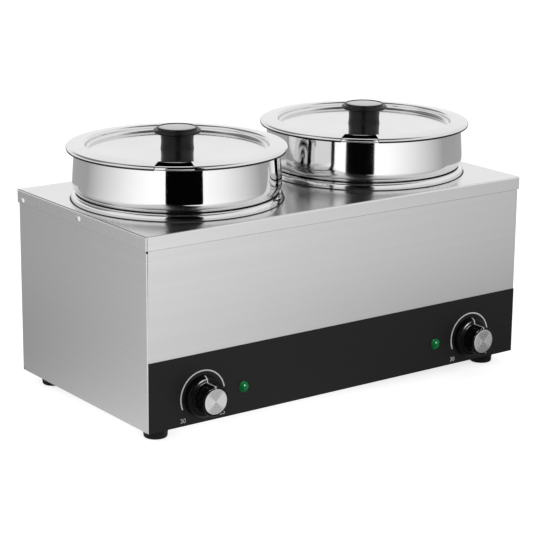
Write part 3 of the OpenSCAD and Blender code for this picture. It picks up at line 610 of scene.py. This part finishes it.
def subtract(shape: Shape, block: Shape) -> Shape:
    """Cuts one mesh out of another.

    Args:
        shape: Mesh that is cut. It is freed.
        block: Mesh that cuts it. It is freed.

    Returns:
        What is left, in the same units.
    """
    things = []
    for mesh in (shape, block):
        data = bpy.data.meshes.new("cut")
        mesh.to_mesh(data)
        mesh.free()
        things.append(entered("cut", data))
    cut = things[0].modifiers.new("cut", "BOOLEAN")
    cut.operation, cut.object, cut.solver = "DIFFERENCE", things[1], "EXACT"
    bpy.context.view_layer.update()
    result = bmesh.new()
    result.from_object(things[0], bpy.context.evaluated_depsgraph_get())
    # Removing a mesh removes its object too
    for data in [thing.data for thing in things]:
        bpy.data.meshes.remove(data)
    bmesh.ops.remove_doubles(result, verts=result.verts, dist=WELD)
    return result


@dataclass
class Piece:
    """A visible piece: its name, what it moves with and how it is finished."""

    name: str
    body: str
    slot: str
    finish: Finish
    stands_for: tuple[str, ...] = ()

    def make(self, shape: Shape, seat: Matrix) -> Thing:
        """Turns a shape into a finished object that rides on its body.

        Args:
            shape: The shape in millimetres, in its own axes. It is freed.
            seat: Turn and place of those axes, in millimetres.

        Returns:
            The new object.
        """
        mesh = bpy.data.meshes.new(self.name)
        shape.transform(Matrix.Scale(MM, 4) @ seat)
        shape.to_mesh(mesh)
        shape.free()
        mesh.shade_smooth()
        mesh.set_sharp_from_angle(angle=SMOOTH_ANGLE)
        mesh.materials.append(self.finish.material())
        piece = entered(self.name, mesh)
        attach(piece, self.body)
        if self.stands_for:
            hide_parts(*self.stands_for)
        LOG.info("%s rides on %s", self.name, self.body)
        return piece


def standing(x: float, z: float = 0.0) -> Matrix:
    """Seat of an upright turned piece at that distance from the middle."""
    return Matrix.Translation((x, 0.0, z))


def facing_front(x: float, y: float, z: float) -> Matrix:
    """Seat of a piece on the front, whose own Z points forwards and Y up."""
    return Matrix.Translation((x, y, z)) @ Matrix.Rotation(math.pi / 2, 4, "X")


# Sub-assemblies


@dataclass
class Pot:
    """A lift-out pot with a rounded shoulder and a rolled rim."""

    side: Side
    sheet: float = 1.0
    floor_z: float = 75.0
    wall_r: float = 91.0
    corner_r: float = 18.0
    shoulder_mid: Point = (92.5, 228.705)
    shoulder_r: float = 15.0
    top_r: float = 105.0
    rim_z: float = 266.0
    roll_mid: Point = (109.0, 264.0)
    roll_r: float = 2.0
    draw: float = 1.2
    belly_steps: int = 12

    def wall(self, inset: float) -> list[Point]:
        """Section of one face of the sheet, whose upper part draws in more towards the rim.

        Args:
            inset: Distance inside the outer face.

        Returns:
            The points from the axis to the rim.
        """
        base_r, low = self.wall_r - self.corner_r, self.shoulder_mid[1]
        foot_z, ledge_z, face_r = self.floor_z + inset, low - self.shoulder_r, self.wall_r - inset
        face = [(0.0, foot_z), (base_r / 2, foot_z)]
        face += arc((base_r, self.floor_z + self.corner_r), self.corner_r - inset, -90, 0, 12)
        face += [(face_r, ledge_z - self.sheet), (face_r, ledge_z + inset)]
        face += arc(self.shoulder_mid, self.shoulder_r - inset, -90, 0, 20)
        belly_r = self.shoulder_mid[0] + self.shoulder_r
        shares = [(i + 1) / self.belly_steps for i in range(self.belly_steps)]
        return face + [(belly_r - inset - (belly_r - self.top_r) * share ** self.draw,
                        low + (self.roll_mid[1] - low) * share) for share in shares]

    def outline(self) -> list[Point]:
        """Section of the pot from the axis outside, over the rim and back inside."""
        rim = arc(self.roll_mid, self.roll_r, -180, 90, 28)
        rim += arc((self.top_r, self.rim_z - self.sheet), self.sheet, 90, 180, 5)
        return self.wall(0.0) + rim + self.wall(self.sheet)[::-1]

    def build(self) -> None:
        """Makes and dresses the pot."""
        word, body = self.side.word, Body.POT.on(self.side)
        Piece(f"pot_body_{word}", body, "pot_steel", POT_STEEL, (f"pot_{word}",)).make(
            lathe(self.outline(), ROUND_STEPS), standing(self.side.value * POT_X))


@dataclass
class Lid:
    """A recessed lid with a ladle notch, and its mushroom knob."""

    side: Side
    sheet: float = 0.8
    floor_z: float = 261.938
    recess_r: float = 93.5
    bend_r: float = 3.1
    crest_z: float = 268.438
    edge_mid: Point = (110.5, 263.938)
    edge_r: float = 3.0
    lip_h: float = 1.6
    lip_from: float = 8.0
    notch_in: Point = (16.0, 94.9)
    notch_out: Point = (20.5, 114.5)
    notch_turns: Point = (35.0, 41.0)
    notch_clear: float = 1.0
    screw_r: float = 2.6
    stem_r: float = 16.6
    stem_flare: float = 0.6
    stem_steps: int = 14
    neck_r: float = 1.6
    cap_r: float = 24.5
    cap_z: float = 16.4
    cap_t: float = 4.0
    disc_r: float = 20.5
    disc_edge: float = 0.5
    knob_h: float = 22.6
    dish: float = 0.6
    dish_slope: float = 0.4
    disc_rim: float = 1.2
    insert_gap: float = 0.5
    insert_sink: float = 0.1
    insert_low: float = 0.05
    crown: float = 0.3

    def top(self, inset: float) -> list[Point]:
        """Section of one face of the lid's sheet.

        Args:
            inset: Distance under the upper face.

        Returns:
            The points from the screw to the lip.
        """
        flat_r, z = self.recess_r - self.bend_r, self.floor_z - inset
        crest = (self.recess_r + self.bend_r, self.crest_z - self.bend_r)
        face = [(self.screw_r, z), (flat_r / 2, z)]
        face += arc((flat_r, self.floor_z + self.bend_r), self.bend_r + inset, -90, 0)
        face += arc(crest, self.bend_r - inset, 180, 90)
        return face + arc(self.edge_mid, self.edge_r - inset, 90, self.lip_from)

    def lip(self, inset: float) -> list[Point]:
        """Section of one face of the lip, which is turned down and curled under."""
        r = self.edge_r - inset
        return arc(self.edge_mid, r, self.lip_from, -math.degrees(math.asin(self.lip_h / r)), 14)

    def notched(self, face: Callable[[float], list[Point]]) -> Shape:
        """A ring of the lid with the ladle notch cut out.

        Args:
            face: Gives the section of the face at a distance inside the sheet.

        Returns:
            The cut mesh, in millimetres.
        """
        (near_w, near_r), (far_w, far_r) = self.notch_in, self.notch_out
        edge = [(-near_w, -near_r), (near_w, -near_r), (far_w, -far_r), (-far_w, -far_r)]
        low = self.edge_mid[1] - self.lip_h - self.notch_clear
        block = plate(edge, low, self.crest_z + self.notch_clear)
        turn = self.notch_turns[self.side is Side.RIGHT]
        block.transform(Matrix.Rotation(math.radians(-turn), 4, "Z"))
        return subtract(hoop(face(0.0) + face(self.sheet)[::-1]), block)

    def knob_outline(self) -> list[Point]:
        """Section of the lid knob from its foot to the dish in its top."""
        base_r, edge_r, bend = self.stem_r + self.stem_flare, self.cap_t / 2, self.disc_edge
        neck_z, cap_top = self.cap_z - self.neck_r, self.cap_z + self.cap_t
        inner_r, dish_z = self.disc_r - self.disc_rim, self.knob_h - self.dish
        shares = [i / self.stem_steps for i in range(self.stem_steps + 1)]
        stem = [(base_r - self.stem_flare * math.sin(math.pi * s), neck_z * s) for s in shares]
        cap = arc((base_r + self.neck_r, neck_z), self.neck_r, 180, 90, 6)
        cap += arc((self.cap_r - edge_r, self.cap_z + edge_r), edge_r, -90, 110, 14)
        cap += arc((self.disc_r + bend, cap_top + bend), bend, -90, -180, 4)
        disc = arc((self.disc_r - bend, self.knob_h - bend), bend, 0, 90, 5)
        disc += [(inner_r, self.knob_h), (inner_r - self.dish_slope, dish_z)]
        return [(0.0, 0.0)] + stem + cap + disc + [(inner_r / 2, dish_z), (0.0, dish_z)]

    def insert_outline(self) -> list[Point]:
        """Section of the thin insert in the dish, a little crowned."""
        low = self.knob_h - self.dish - self.insert_sink
        edge_r = self.disc_r - self.disc_rim - self.insert_gap
        crown = [(edge_r * s, self.knob_h - self.insert_low - self.crown * s * s)
                 for s in (0.98, 0.75, 0.5, 0.25, 0.0)]
        return [(0.0, low), (edge_r, low), (edge_r, self.knob_h - self.insert_gap)] + crown

    def build(self) -> None:
        """Makes and dresses the lid and its knob."""
        word, body = self.side.word, Body.LID.on(self.side)
        x = self.side.value * POT_X
        Piece(f"lid_sheet_{word}", body, "lid_steel", LID_STEEL, (f"lid_{word}",)).make(
            self.notched(self.top), standing(x))
        # The lip gets near-black steel: painted shade along the lid's edge.
        Piece(f"lid_lip_{word}", body, "lid_steel", LIP_PAINTED_SHADE).make(
            self.notched(self.lip), standing(x))
        knob = (f"lid_knob_{word}",)
        Piece(f"lid_grip_{word}", body, "lid_knob_black", LID_KNOB_BLACK, knob).make(
            lathe(self.knob_outline(), 160), standing(x, self.floor_z))
        Piece(f"lid_grip_insert_{word}", body, "lid_knob_black", KNOB_INSERT).make(
            lathe(self.insert_outline(), 128), standing(x, self.floor_z))


@dataclass
class ControlDial:
    """A thermostat knob with its pointer line, spun disc and printed scale."""

    side: Side
    axis_x: float = 175.0
    back_z: float = 0.8
    skirt_r: float = 21.5
    skirt_z: float = 2.8
    rim_r: float = 0.5
    dome_h: float = 5.0
    dome_r: float = 16.9
    neck_r: float = 1.4
    grip_r: float = 15.5
    grip_rows: tuple[float, ...] = (10.5, 12.0, 15.0, 18.0, 20.5)
    front_z: float = 22.7
    edge_r: float = 1.2
    flutes: int = 10
    flute_depth: float = 0.95
    flute_start: float = 0.6
    flute_run: float = 1.6
    flute_power: int = 3
    flute_clear: float = 0.2
    disc_r: float = 13.0
    disc_gap: float = 0.1
    disc_back: float = 21.5
    disc_front: float = 23.0
    disc_edge: tuple[Point, ...] = ((0.0, 0.35), (0.12, 0.1), (0.4, 0.0))
    disc_dish: float = 0.12
    seat_edge: Point = (0.15, 0.2)
    line_half: float = 0.6
    line_end: float = 0.3
    line_lift: float = 0.07
    line_sink: float = 0.25
    arc_r: float = 26.0
    arc_half: float = 0.7
    arc_from: float = 202.0
    arc_to: float = 12.0
    arc_steps: int = 96
    ink: float = 0.05
    ink_sink: float = 0.03
    number_h: float = 6.6
    numbers: tuple[tuple[str, float, float], ...] = (("30", -23.5, -22.0), ("85", 23.5, -22.0))

    def skin(self) -> list[Point]:
        """Outer section of the knob from the edge of the skirt to the edge of the front."""
        dome_z = self.skirt_z + self.dome_h
        rim = arc((self.skirt_r - self.rim_r, self.back_z + self.rim_r), self.rim_r, -90, 0, 4)
        quarter = arc((0.0, 0.0), 1.0, 0, 90, 15)
        dome = [(self.dome_r + (self.skirt_r - self.dome_r) * across,
                 self.skirt_z + self.dome_h * up) for across, up in quarter]
        neck = arc((self.grip_r + self.neck_r, dome_z + self.neck_r), self.neck_r, -90, -180, 5)
        wall = [(self.grip_r, z) for z in self.grip_rows]
        edge_mid = (self.grip_r - self.edge_r, self.front_z - self.edge_r)
        return rim + dome + neck + wall + arc(edge_mid, self.edge_r, 0, 90, 6)

    def knob(self) -> Shape:
        """The fluted knob with the seat of its disc."""
        seat_r = self.disc_r + self.disc_gap
        wide, deep = self.seat_edge
        outline = [(0.0, self.back_z)] + self.skin()
        outline += [(seat_r + wide, self.front_z), (seat_r, self.front_z - deep),
                    (seat_r, self.disc_back), (0.0, self.disc_back)]
        grip_from = self.skirt_z + self.dome_h + self.flute_start

        def flute(angle: float, number: int) -> float:
            """Depth of the flutes at an angle and a point of the outline."""
            radius, height = outline[number]
            if height < grip_from or radius <= seat_r + self.flute_clear:
                return 0.0
            share = min(1.0, (height - grip_from) / self.flute_run)
            wave = 0.5 - 0.5 * math.cos(self.flutes * (angle - math.pi / 2))
            return -self.flute_depth * share * wave ** self.flute_power

        return lathe(outline, 240, flute)

    def pointer(self) -> Shape:
        """The white line from the skirt over the grip to the front."""
        line = [p for p in self.skin() if p[1] >= self.skirt_z]
        line.append((self.disc_r + self.line_end, self.front_z))
        middle = [Vector((0.0, r, z)) for r, z in line]
        side = Vector((self.line_half, 0.0, 0.0))
        rows = []
        for i, point in enumerate(middle):
            run = middle[min(i + 1, len(middle) - 1)] - middle[max(i - 1, 0)]
            out = Vector((0.0, run.z, -run.y)).normalized()
            low, high = point - out * self.line_sink, point + out * self.line_lift
            rows.append((low - side, low + side, high + side, high - side))
        return tube(rows)

    def disc(self) -> Shape:
        """The spun disc with its turned edge."""
        edge = [(self.disc_r - dr, self.disc_front - dz) for dr, dz in self.disc_edge]
        face = [(self.disc_r * s, self.disc_front - self.disc_dish * (1 - s))
                for s in (0.75, 0.5, 0.25, 0.0)]
        return lathe([(0.0, self.disc_back), (self.disc_r, self.disc_back)] + edge + face, 128)

    def scale(self) -> Shape:
        """The printed line round the knob, with round ends."""
        hub, half = (0.0, 0.0), self.arc_half
        outer = arc(hub, self.arc_r + half, self.arc_from, self.arc_to, self.arc_steps)
        inner = arc(hub, self.arc_r - half, self.arc_to, self.arc_from, self.arc_steps)
        low, high = self.arc_to, self.arc_from
        low_end = arc(on_circle(low, self.arc_r), half, low, low - 180)[1:-1]
        high_end = arc(on_circle(high, self.arc_r), half, high + 180, high)[1:-1]
        return plate(outer + low_end + inner + high_end, -self.ink_sink, self.ink)

    def number(self, text: str) -> Shape:
        """A printed number, as a thin plate.

        Args:
            text: The number.

        Returns:
            Its mesh, in millimetres.
        """
        curve = bpy.data.curves.new("number", "FONT")
        curve.body, curve.size, curve.extrude = text, self.number_h, self.ink / 2
        curve.align_x, curve.align_y, curve.resolution_u = "CENTER", "CENTER", 4
        holder = entered("number", curve)
        bpy.context.view_layer.update()
        shape = bmesh.new()
        shape.from_mesh(holder.to_mesh())
        bmesh.ops.remove_doubles(shape, verts=shape.verts, dist=WELD / 10)
        holder.to_mesh_clear()
        bpy.data.objects.remove(holder)
        bpy.data.curves.remove(curve)
        return shape

    def build(self) -> Thing:
        """Makes and dresses the knob, its marks and the printed scale.

        Returns:
            The knob itself.
        """
        word, turning, still = self.side.word, Body.CONTROL.on(self.side), Body.HOUSING.value
        at = (self.side.value * self.axis_x, STRIP_Y, CONTROL_Z)
        seat = facing_front(*at)
        spun = TurnedMetal(f"spun_disc_{word}", at=tuple(v * MM for v in at))
        stand = (f"control_knob_{word}",)
        knob = Piece(f"dial_knob_{word}", turning, "dial_black", DIAL_BLACK, stand).make(
            self.knob(), seat)
        Piece(f"dial_pointer_{word}", turning, "dial_black", PRINT_WHITE).make(
            self.pointer(), seat)
        stand = (f"knob_disc_{word}",)
        Piece(f"dial_disc_{word}", turning, "spun_aluminium", spun, stand).make(self.disc(), seat)
        Piece(f"scale_line_{word}", still, "control_black", PRINT_WHITE).make(self.scale(), seat)
        for place, (text, dx, dz) in zip(("low", "high"), self.numbers):
            name = f"scale_number_{place}_{word}"
            Piece(name, still, "control_black", PRINT_WHITE).make(
                self.number(text), facing_front(at[0] + dx, at[1], at[2] + dz))
        return knob


@dataclass
class PilotLamp:
    """The coloured lens of a pilot lamp."""

    side: Side
    axis_x: float = 126.0
    flange_r: float = 5.75
    flange_h: float = 1.0
    edge_r: float = 0.3
    dome_r: float = 5.25
    dome_h: float = 3.4
    stem_r: float = 3.9
    stem_l: float = 9.5

    def lens(self) -> Shape:
        """The flanged dome on its stem."""
        ball = (self.dome_r ** 2 + self.dome_h ** 2) / (2 * self.dome_h)
        top = self.flange_h + self.dome_h
        low = math.degrees(math.asin((self.flange_h - (top - ball)) / ball))
        outline = [(0.0, -self.stem_l), (self.stem_r, -self.stem_l), (self.stem_r, 0.0),
                   (self.flange_r, 0.0)]
        edge_mid = (self.flange_r - self.edge_r, self.flange_h - self.edge_r)
        outline += arc(edge_mid, self.edge_r, 0, 90, 4)
        outline += arc((0.0, top - ball), ball, low, 90, 16)[:-1] + [(0.0, top)]
        return lathe(outline, 96)

    def build(self) -> Thing:
        """Makes and dresses the lens.

        Returns:
            The lens.
        """
        word, body = self.side.word, Body.HOUSING.value
        seat = facing_front(self.side.value * self.axis_x, STRIP_Y, CONTROL_Z)
        return Piece(f"lamp_lens_{word}", body, "lamp_green", LENS_GREEN,
                     (f"pilot_lens_{word}",)).make(self.lens(), seat)


@dataclass
class SeamShadows:
    """Thin beads of painted shadow in the joints under the deck skirt, round the wells and under
    the pots.
    """

    wall_x: float = 238.8
    wall_y: float = 123.8
    corner_r: float = 1.7
    skirt_z: float = 197.0
    skirt_bead: Point = (0.75, 0.6)
    skirt_bevel: float = 0.7
    well_r: float = 109.0
    deck_z: float = 211.0
    well_bead: Point = (1.3, 0.9)
    sink: float = 0.05
    # Section of the black ring in the crease between pot and bead: a painted shadow line.
    rest: tuple[Point, ...] = (
        (102.6, 217.22), (103.2, 217.56), (103.6, 217.73), (104.0, 217.85), (103.85, 218.4),
        (104.0, 218.95), (103.6, 218.48), (103.2, 218.1), (102.6, 217.5))

    def skirt(self) -> Shape:
        """The painted shadow line that goes round the walls just under the skirt."""
        x, y = self.wall_x - self.corner_r, self.wall_y - self.corner_r
        out, drop = self.skirt_bead
        section = ((-self.sink, 0.0), (out, 0.0),
                   (self.skirt_bevel * out, -self.skirt_bevel * drop), (-self.sink, -drop))
        rows = []
        for i, middle in enumerate(((x, y), (-x, y), (-x, -y), (x, -y))):
            loops = [arc(middle, self.corner_r + o, 90 * i, 90 * i + 90, 4) for o, _ in section]
            rows += [[(*point, self.skirt_z + z) for point, (_, z) in zip(corners, section)]
                     for corners in zip(*loops)]
        return tube(rows, ring=True)

    def well(self) -> Shape:
        """The hollow bead of painted shadow in the corner between the deck and a well."""
        out, rise = self.well_bead
        outer, low = self.well_r + out, self.deck_z - self.sink
        outline = [(self.well_r - self.sink, low), (outer, low), (outer, self.deck_z + self.sink)]
        outline += [(self.well_r + out * share, self.deck_z + rise * (1 - share) ** 2)
                    for share in (0.75, 0.5, 0.25, 0.05)]
        return hoop(outline + [(self.well_r - self.sink, self.deck_z + rise)])

    def build(self) -> None:
        """Makes and dresses the beads of painted shadow."""
        body = Body.HOUSING.value
        # Grey beads along the joints: painted shadow lines of the gaps.
        Piece("skirt_shadow_line", body, "deck_steel", SEAM_SHADOW_GREY).make(self.skirt(), standing(0.0))
        for side in Side:
            seat = standing(side.value * POT_X)
            Piece(f"well_seal_{side.word}", body, "deck_steel", SEAM_SHADOW_GREY).make(
                self.well(), seat)
            # Black ring under the pot: painted shadow of the gap there.
            Piece(f"pot_rest_{side.word}", body, "foot_rubber", SHADOW_RING_BLACK).make(
                hoop(self.rest), seat)


@dataclass
class CadPieces:
    """CAD nodes that keep their shape and get a finish."""

    nodes: dict[str, Thing]
    plain: dict[Finish, str] = field(default_factory=lambda: {
        HOUSING_STEEL: "body_wrapper back_panel base_plate", DECK_STEEL: "top_deck",
        STRIP_BLACK: "control_strip", BLOCK_IVORY: "terminal_block", STUD_BRASS: "earth_stud",
        SCREW_STEEL: "deck_screws back_screws foot_screws thermostat_screws terminal_screws",
        STRAP_STEEL: "foot_nuts clamp_nuts bulb_clips", GLAND_NYLON: "cord_gland gland_nut",
        WIRE_BROWN: "live_wires", WIRE_RED: "switched_wires lamp_feed_wires",
        WIRE_BLUE: "neutral_wires lamp_return_wires"})
    paired: dict[Finish, str] = field(default_factory=lambda: {
        FOOT_RUBBER: "foot_front foot_back", WELL_STEEL: "well", ELEMENT_STEEL: "element",
        STRAP_STEEL: "element_clamp", CASE_GREY: "thermostat", BULB_COPPER: "bulb",
        LAMP_CASE: "pilot_body", SCREW_STEEL: "lid_screw thermostat_shaft"})

    def dress(self) -> None:
        """Gives every kept node its finish."""
        kept = [(name, finish) for finish, names in self.plain.items() for name in names.split()]
        kept += [(f"{stem}_{side.word}", finish) for finish, stems in self.paired.items()
                 for stem in stems.split() for side in Side]
        for name, finish in kept:
            for slot in self.nodes[name].material_slots:
                slot.material = finish.material()
            LOG.info("%s keeps its CAD shape in %s", name, finish.name)


# Studio


def turned_to(at: Triple, aim: Triple, axis: str) -> Euler:
    """Turn that points an axis from one place to another."""
    return (Vector(aim) - Vector(at)).to_track_quat(axis, "Y").to_euler()


@dataclass(frozen=True)
class Softbox:
    """A soft oval light, in metres and watts."""

    name: str
    at: Triple
    aim: Triple
    size: Point
    power: float

    def hang(self, glint_on: Sequence[Thing] = ()) -> None:
        """Adds the light.

        Args:
            glint_on: The only pieces that mirror it, if any. Else it lights dull surfaces.
        """
        data = bpy.data.lights.new(self.name, "AREA")
        data.shape, data.energy, (data.size, data.size_y) = "ELLIPSE", self.power, self.size
        lamp = entered(self.name, data)
        lamp.location, lamp.rotation_euler = self.at, turned_to(self.at, self.aim, "-Z")
        lamp.visible_glossy, lamp.visible_diffuse = bool(glint_on), not glint_on
        if glint_on:
            group = bpy.data.collections.new(f"{self.name}_pieces")
            lamp.light_linking.receiver_collection = group
            for piece in glint_on:
                group.objects.link(piece)


@dataclass
class Studio:
    """Plain pale floor, soft lights and a camera at the photograph's angle, in metres."""

    camera_at: Triple = (-1.1956, -1.6257, 0.6647)
    camera_turn: float = 36.257
    camera_dip: float = 15.254
    camera_roll: float = 0.53
    lens: float = 129.57
    sensor: float = 36.0
    clip: Point = (0.05, 60.0)
    fill: float = 0.5
    dimmest: float = 0.05
    ceiling: Point = (0.74, 0.91)
    ceiling_dim: float = 0.95
    # Level direction, span of its cosine, span of height and depth of each dim patch
    dim_patches: tuple[tuple[Triple, Point, Point, float], ...] = (
        ((-0.59, -0.81, 0.0), (0.3, 0.7), (0.7, 0.9), 1.0),
        ((-0.31, 0.95, 0.0), (0.7, 0.92), (0.3, 0.45), 0.8))
    floor_half: float = 8.0
    floor_z: float = -2e-4
    floor_tone: float = 0.8
    floor_glow: float = 0.68
    lit_towards: Triple = (-0.62, -0.785, 0.0)
    lit_from: float = -0.25
    lit_tone: float = 1.35
    unlit_tone: float = 0.41
    near_far: Point = (0.25, 0.9)
    near_tone: float = 0.6
    card_at: Triple = (-0.385, -0.547, 0.704)
    card_aim: Triple = (0.0, 0.0, 0.704)
    card_size: Point = (0.41, 1.4)
    card_corner: float = 0.04
    card_tone: float = 0.002
    side_light: Softbox = Softbox(
        "left_softbox", (-2.0, 0.6, 1.5), (0.0, 0.0, 0.15), (1.0, 1.2), 10.0)
    front_light: Softbox = Softbox(
        "front_softbox", (0.55, -1.75, 1.1), (0.0, 0.0, 0.1), (0.5, 0.6), 7.5)
    dial_light: Softbox = Softbox(
        "dial_softbox", (0.4, -1.75, 1.0), (0.0, -0.13, 0.04), (1.0, 0.8), 220.0)

    def camera(self) -> None:
        """Sets up the camera."""
        data = bpy.data.cameras.new("camera")
        data.lens, data.sensor_width = self.lens, self.sensor
        data.clip_start, data.clip_end = self.clip
        turn, dip, roll = (math.radians(angle) for angle in (
            -self.camera_turn, 90 - self.camera_dip, self.camera_roll))
        way = Matrix.Rotation(turn, 4, "Z") @ Matrix.Rotation(dip, 4, "X")
        camera = entered("camera", data)
        camera.matrix_world = (Matrix.Translation(self.camera_at) @ way
                               @ Matrix.Rotation(roll, 4, "Z"))
        bpy.context.scene.camera = camera

    @staticmethod
    def rays(net: Net) -> tuple[Socket, Socket]:
        """Masks of the camera's rays, and of those from metal or through glass."""
        path = net.add("LightPath").outputs
        shiny = net.math("MAXIMUM", path["Is Glossy Ray"], path["Is Transmission Ray"])
        return path["Is Camera Ray"], shiny

    def world(self) -> None:
        """White that is softer as light, and in metal dim overhead and in two patches."""
        world = bpy.data.worlds.new("studio_world")
        bpy.context.scene.world = world
        net = Net(emptied(world))
        ways = net.add("TexCoord").outputs["Generated"]
        up = net.axes(ways)[2]

        def step(value: Socket, span: Point, most: float = 1.0) -> Socket:
            """Soft step of a value over a span."""
            return net.ramp(value, (span[0], 0.0), (span[1], most), "SMOOTHSTEP")

        dim = step(up, self.ceiling, self.ceiling_dim)
        for towards, cone, rise, most in self.dim_patches:
            across = step(net.bearing(ways, towards), cone, most)
            dim = net.math("MAXIMUM", net.math("MULTIPLY", across, step(up, rise)), dim)
        room = net.ramp(dim, (0.0, 1.0), (1.0, self.dimmest))
        white, metal, light = (
            net.add("Background", {"Color": (*grey(1.0), 1.0), "Strength": tone}).outputs[0]
            for tone in (1.0, room, self.fill))
        seen, shiny = self.rays(net)
        sky = net.mixed(seen, net.mixed(shiny, light, metal), white)
        net.add("OutputWorld", {"Surface": sky})

    def floor(self) -> None:
        """A wide floor that shows as white with a soft shadow, and as a pool of light in metal."""
        half, z = self.floor_half, self.floor_z
        mesh = bpy.data.meshes.new("studio_floor")
        mesh.from_pydata([(-half, -half, z), (half, -half, z), (half, half, z), (-half, half, z)],
                         [], [(0, 1, 2, 3)])
        material = bpy.data.materials.new("studio_floor_finish")
        net = Net(emptied(material))
        seen, shiny = self.rays(net)
        spot = net.add("NewGeometry").outputs["Position"]
        lit = net.ramp(net.bearing(spot, self.lit_towards), (self.lit_from, self.unlit_tone),
                       (1.0, self.lit_tone))
        # The pool is dimmer near the kettle: a painted shadow of it on the floor, seen only in
        # metal.
        near, far = self.near_far
        away = net.ramp(net.vector("LENGTH", {0: spot}, "Value"), (near, self.near_tone),
                        (far, 1.0), "SMOOTHSTEP")
        paper = net.add("BsdfDiffuse", {"Color": (*grey(self.floor_tone), 1.0)}).outputs[0]
        glow, pool = (
            net.add("Emission", {"Strength": net.math("MULTIPLY", *tones)}).outputs[0]
            for tones in ((seen, self.floor_glow), (lit, away)))
        pale = net.add("AddShader", {0: paper, 1: glow}).outputs[0]
        net.add("OutputMaterial", {"Surface": net.mixed(shiny, pale, pool)})
        mesh.materials.append(material)
        entered("studio_floor", mesh)

    def card(self) -> None:
        """Adds a black card with round corners that only shows in polished metal."""
        mesh = bpy.data.meshes.new("front_card")
        r = self.card_corner
        w, h = (span / 2 - r for span in self.card_size)
        mids = ((w, h), (-w, h), (-w, -h), (w, -h))
        edge = [p for i, mid in enumerate(mids) for p in arc(mid, r, 90 * i, 90 * i + 90)]
        mesh.from_pydata([(x, y, 0.0) for x, y in edge], [], [tuple(range(len(edge)))])
        shader = Shader("front_card_finish")
        shader.set(Base_Color=(*grey(self.card_tone), 1.0), Specular_IOR_Level=0.0)
        mesh.materials.append(shader.material)
        card = entered("front_card", mesh)
        card.location = self.card_at
        card.rotation_euler = turned_to(self.card_at, self.card_aim, "Z")
        for ray in ("camera", "diffuse", "shadow", "transmission"):
            setattr(card, f"visible_{ray}", False)

    def build(self, glossy: Sequence[Thing]) -> None:
        """Sets up the whole studio.

        Args:
            glossy: Pieces of the controls that get a glint.
        """
        self.camera()
        self.world()
        self.floor()
        self.side_light.hang()
        self.front_light.hang()
        self.dial_light.hang(glossy)
        self.card()


def main() -> None:
    """Builds the studio and every piece of the kettle."""
    logging.basicConfig(level=logging.INFO, format="%(name)s: %(message)s")
    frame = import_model()
    bpy.context.scene.view_settings.view_transform = "Standard"
    CadPieces(frame["nodes"]).dress()
    glossy = []
    for side in Side:
        Pot(side).build()
        Lid(side).build()
        glossy += [ControlDial(side).build(), PilotLamp(side).build()]
    SeamShadows().build()
    Studio().build(glossy)


if __name__ == "__main__":
    main()
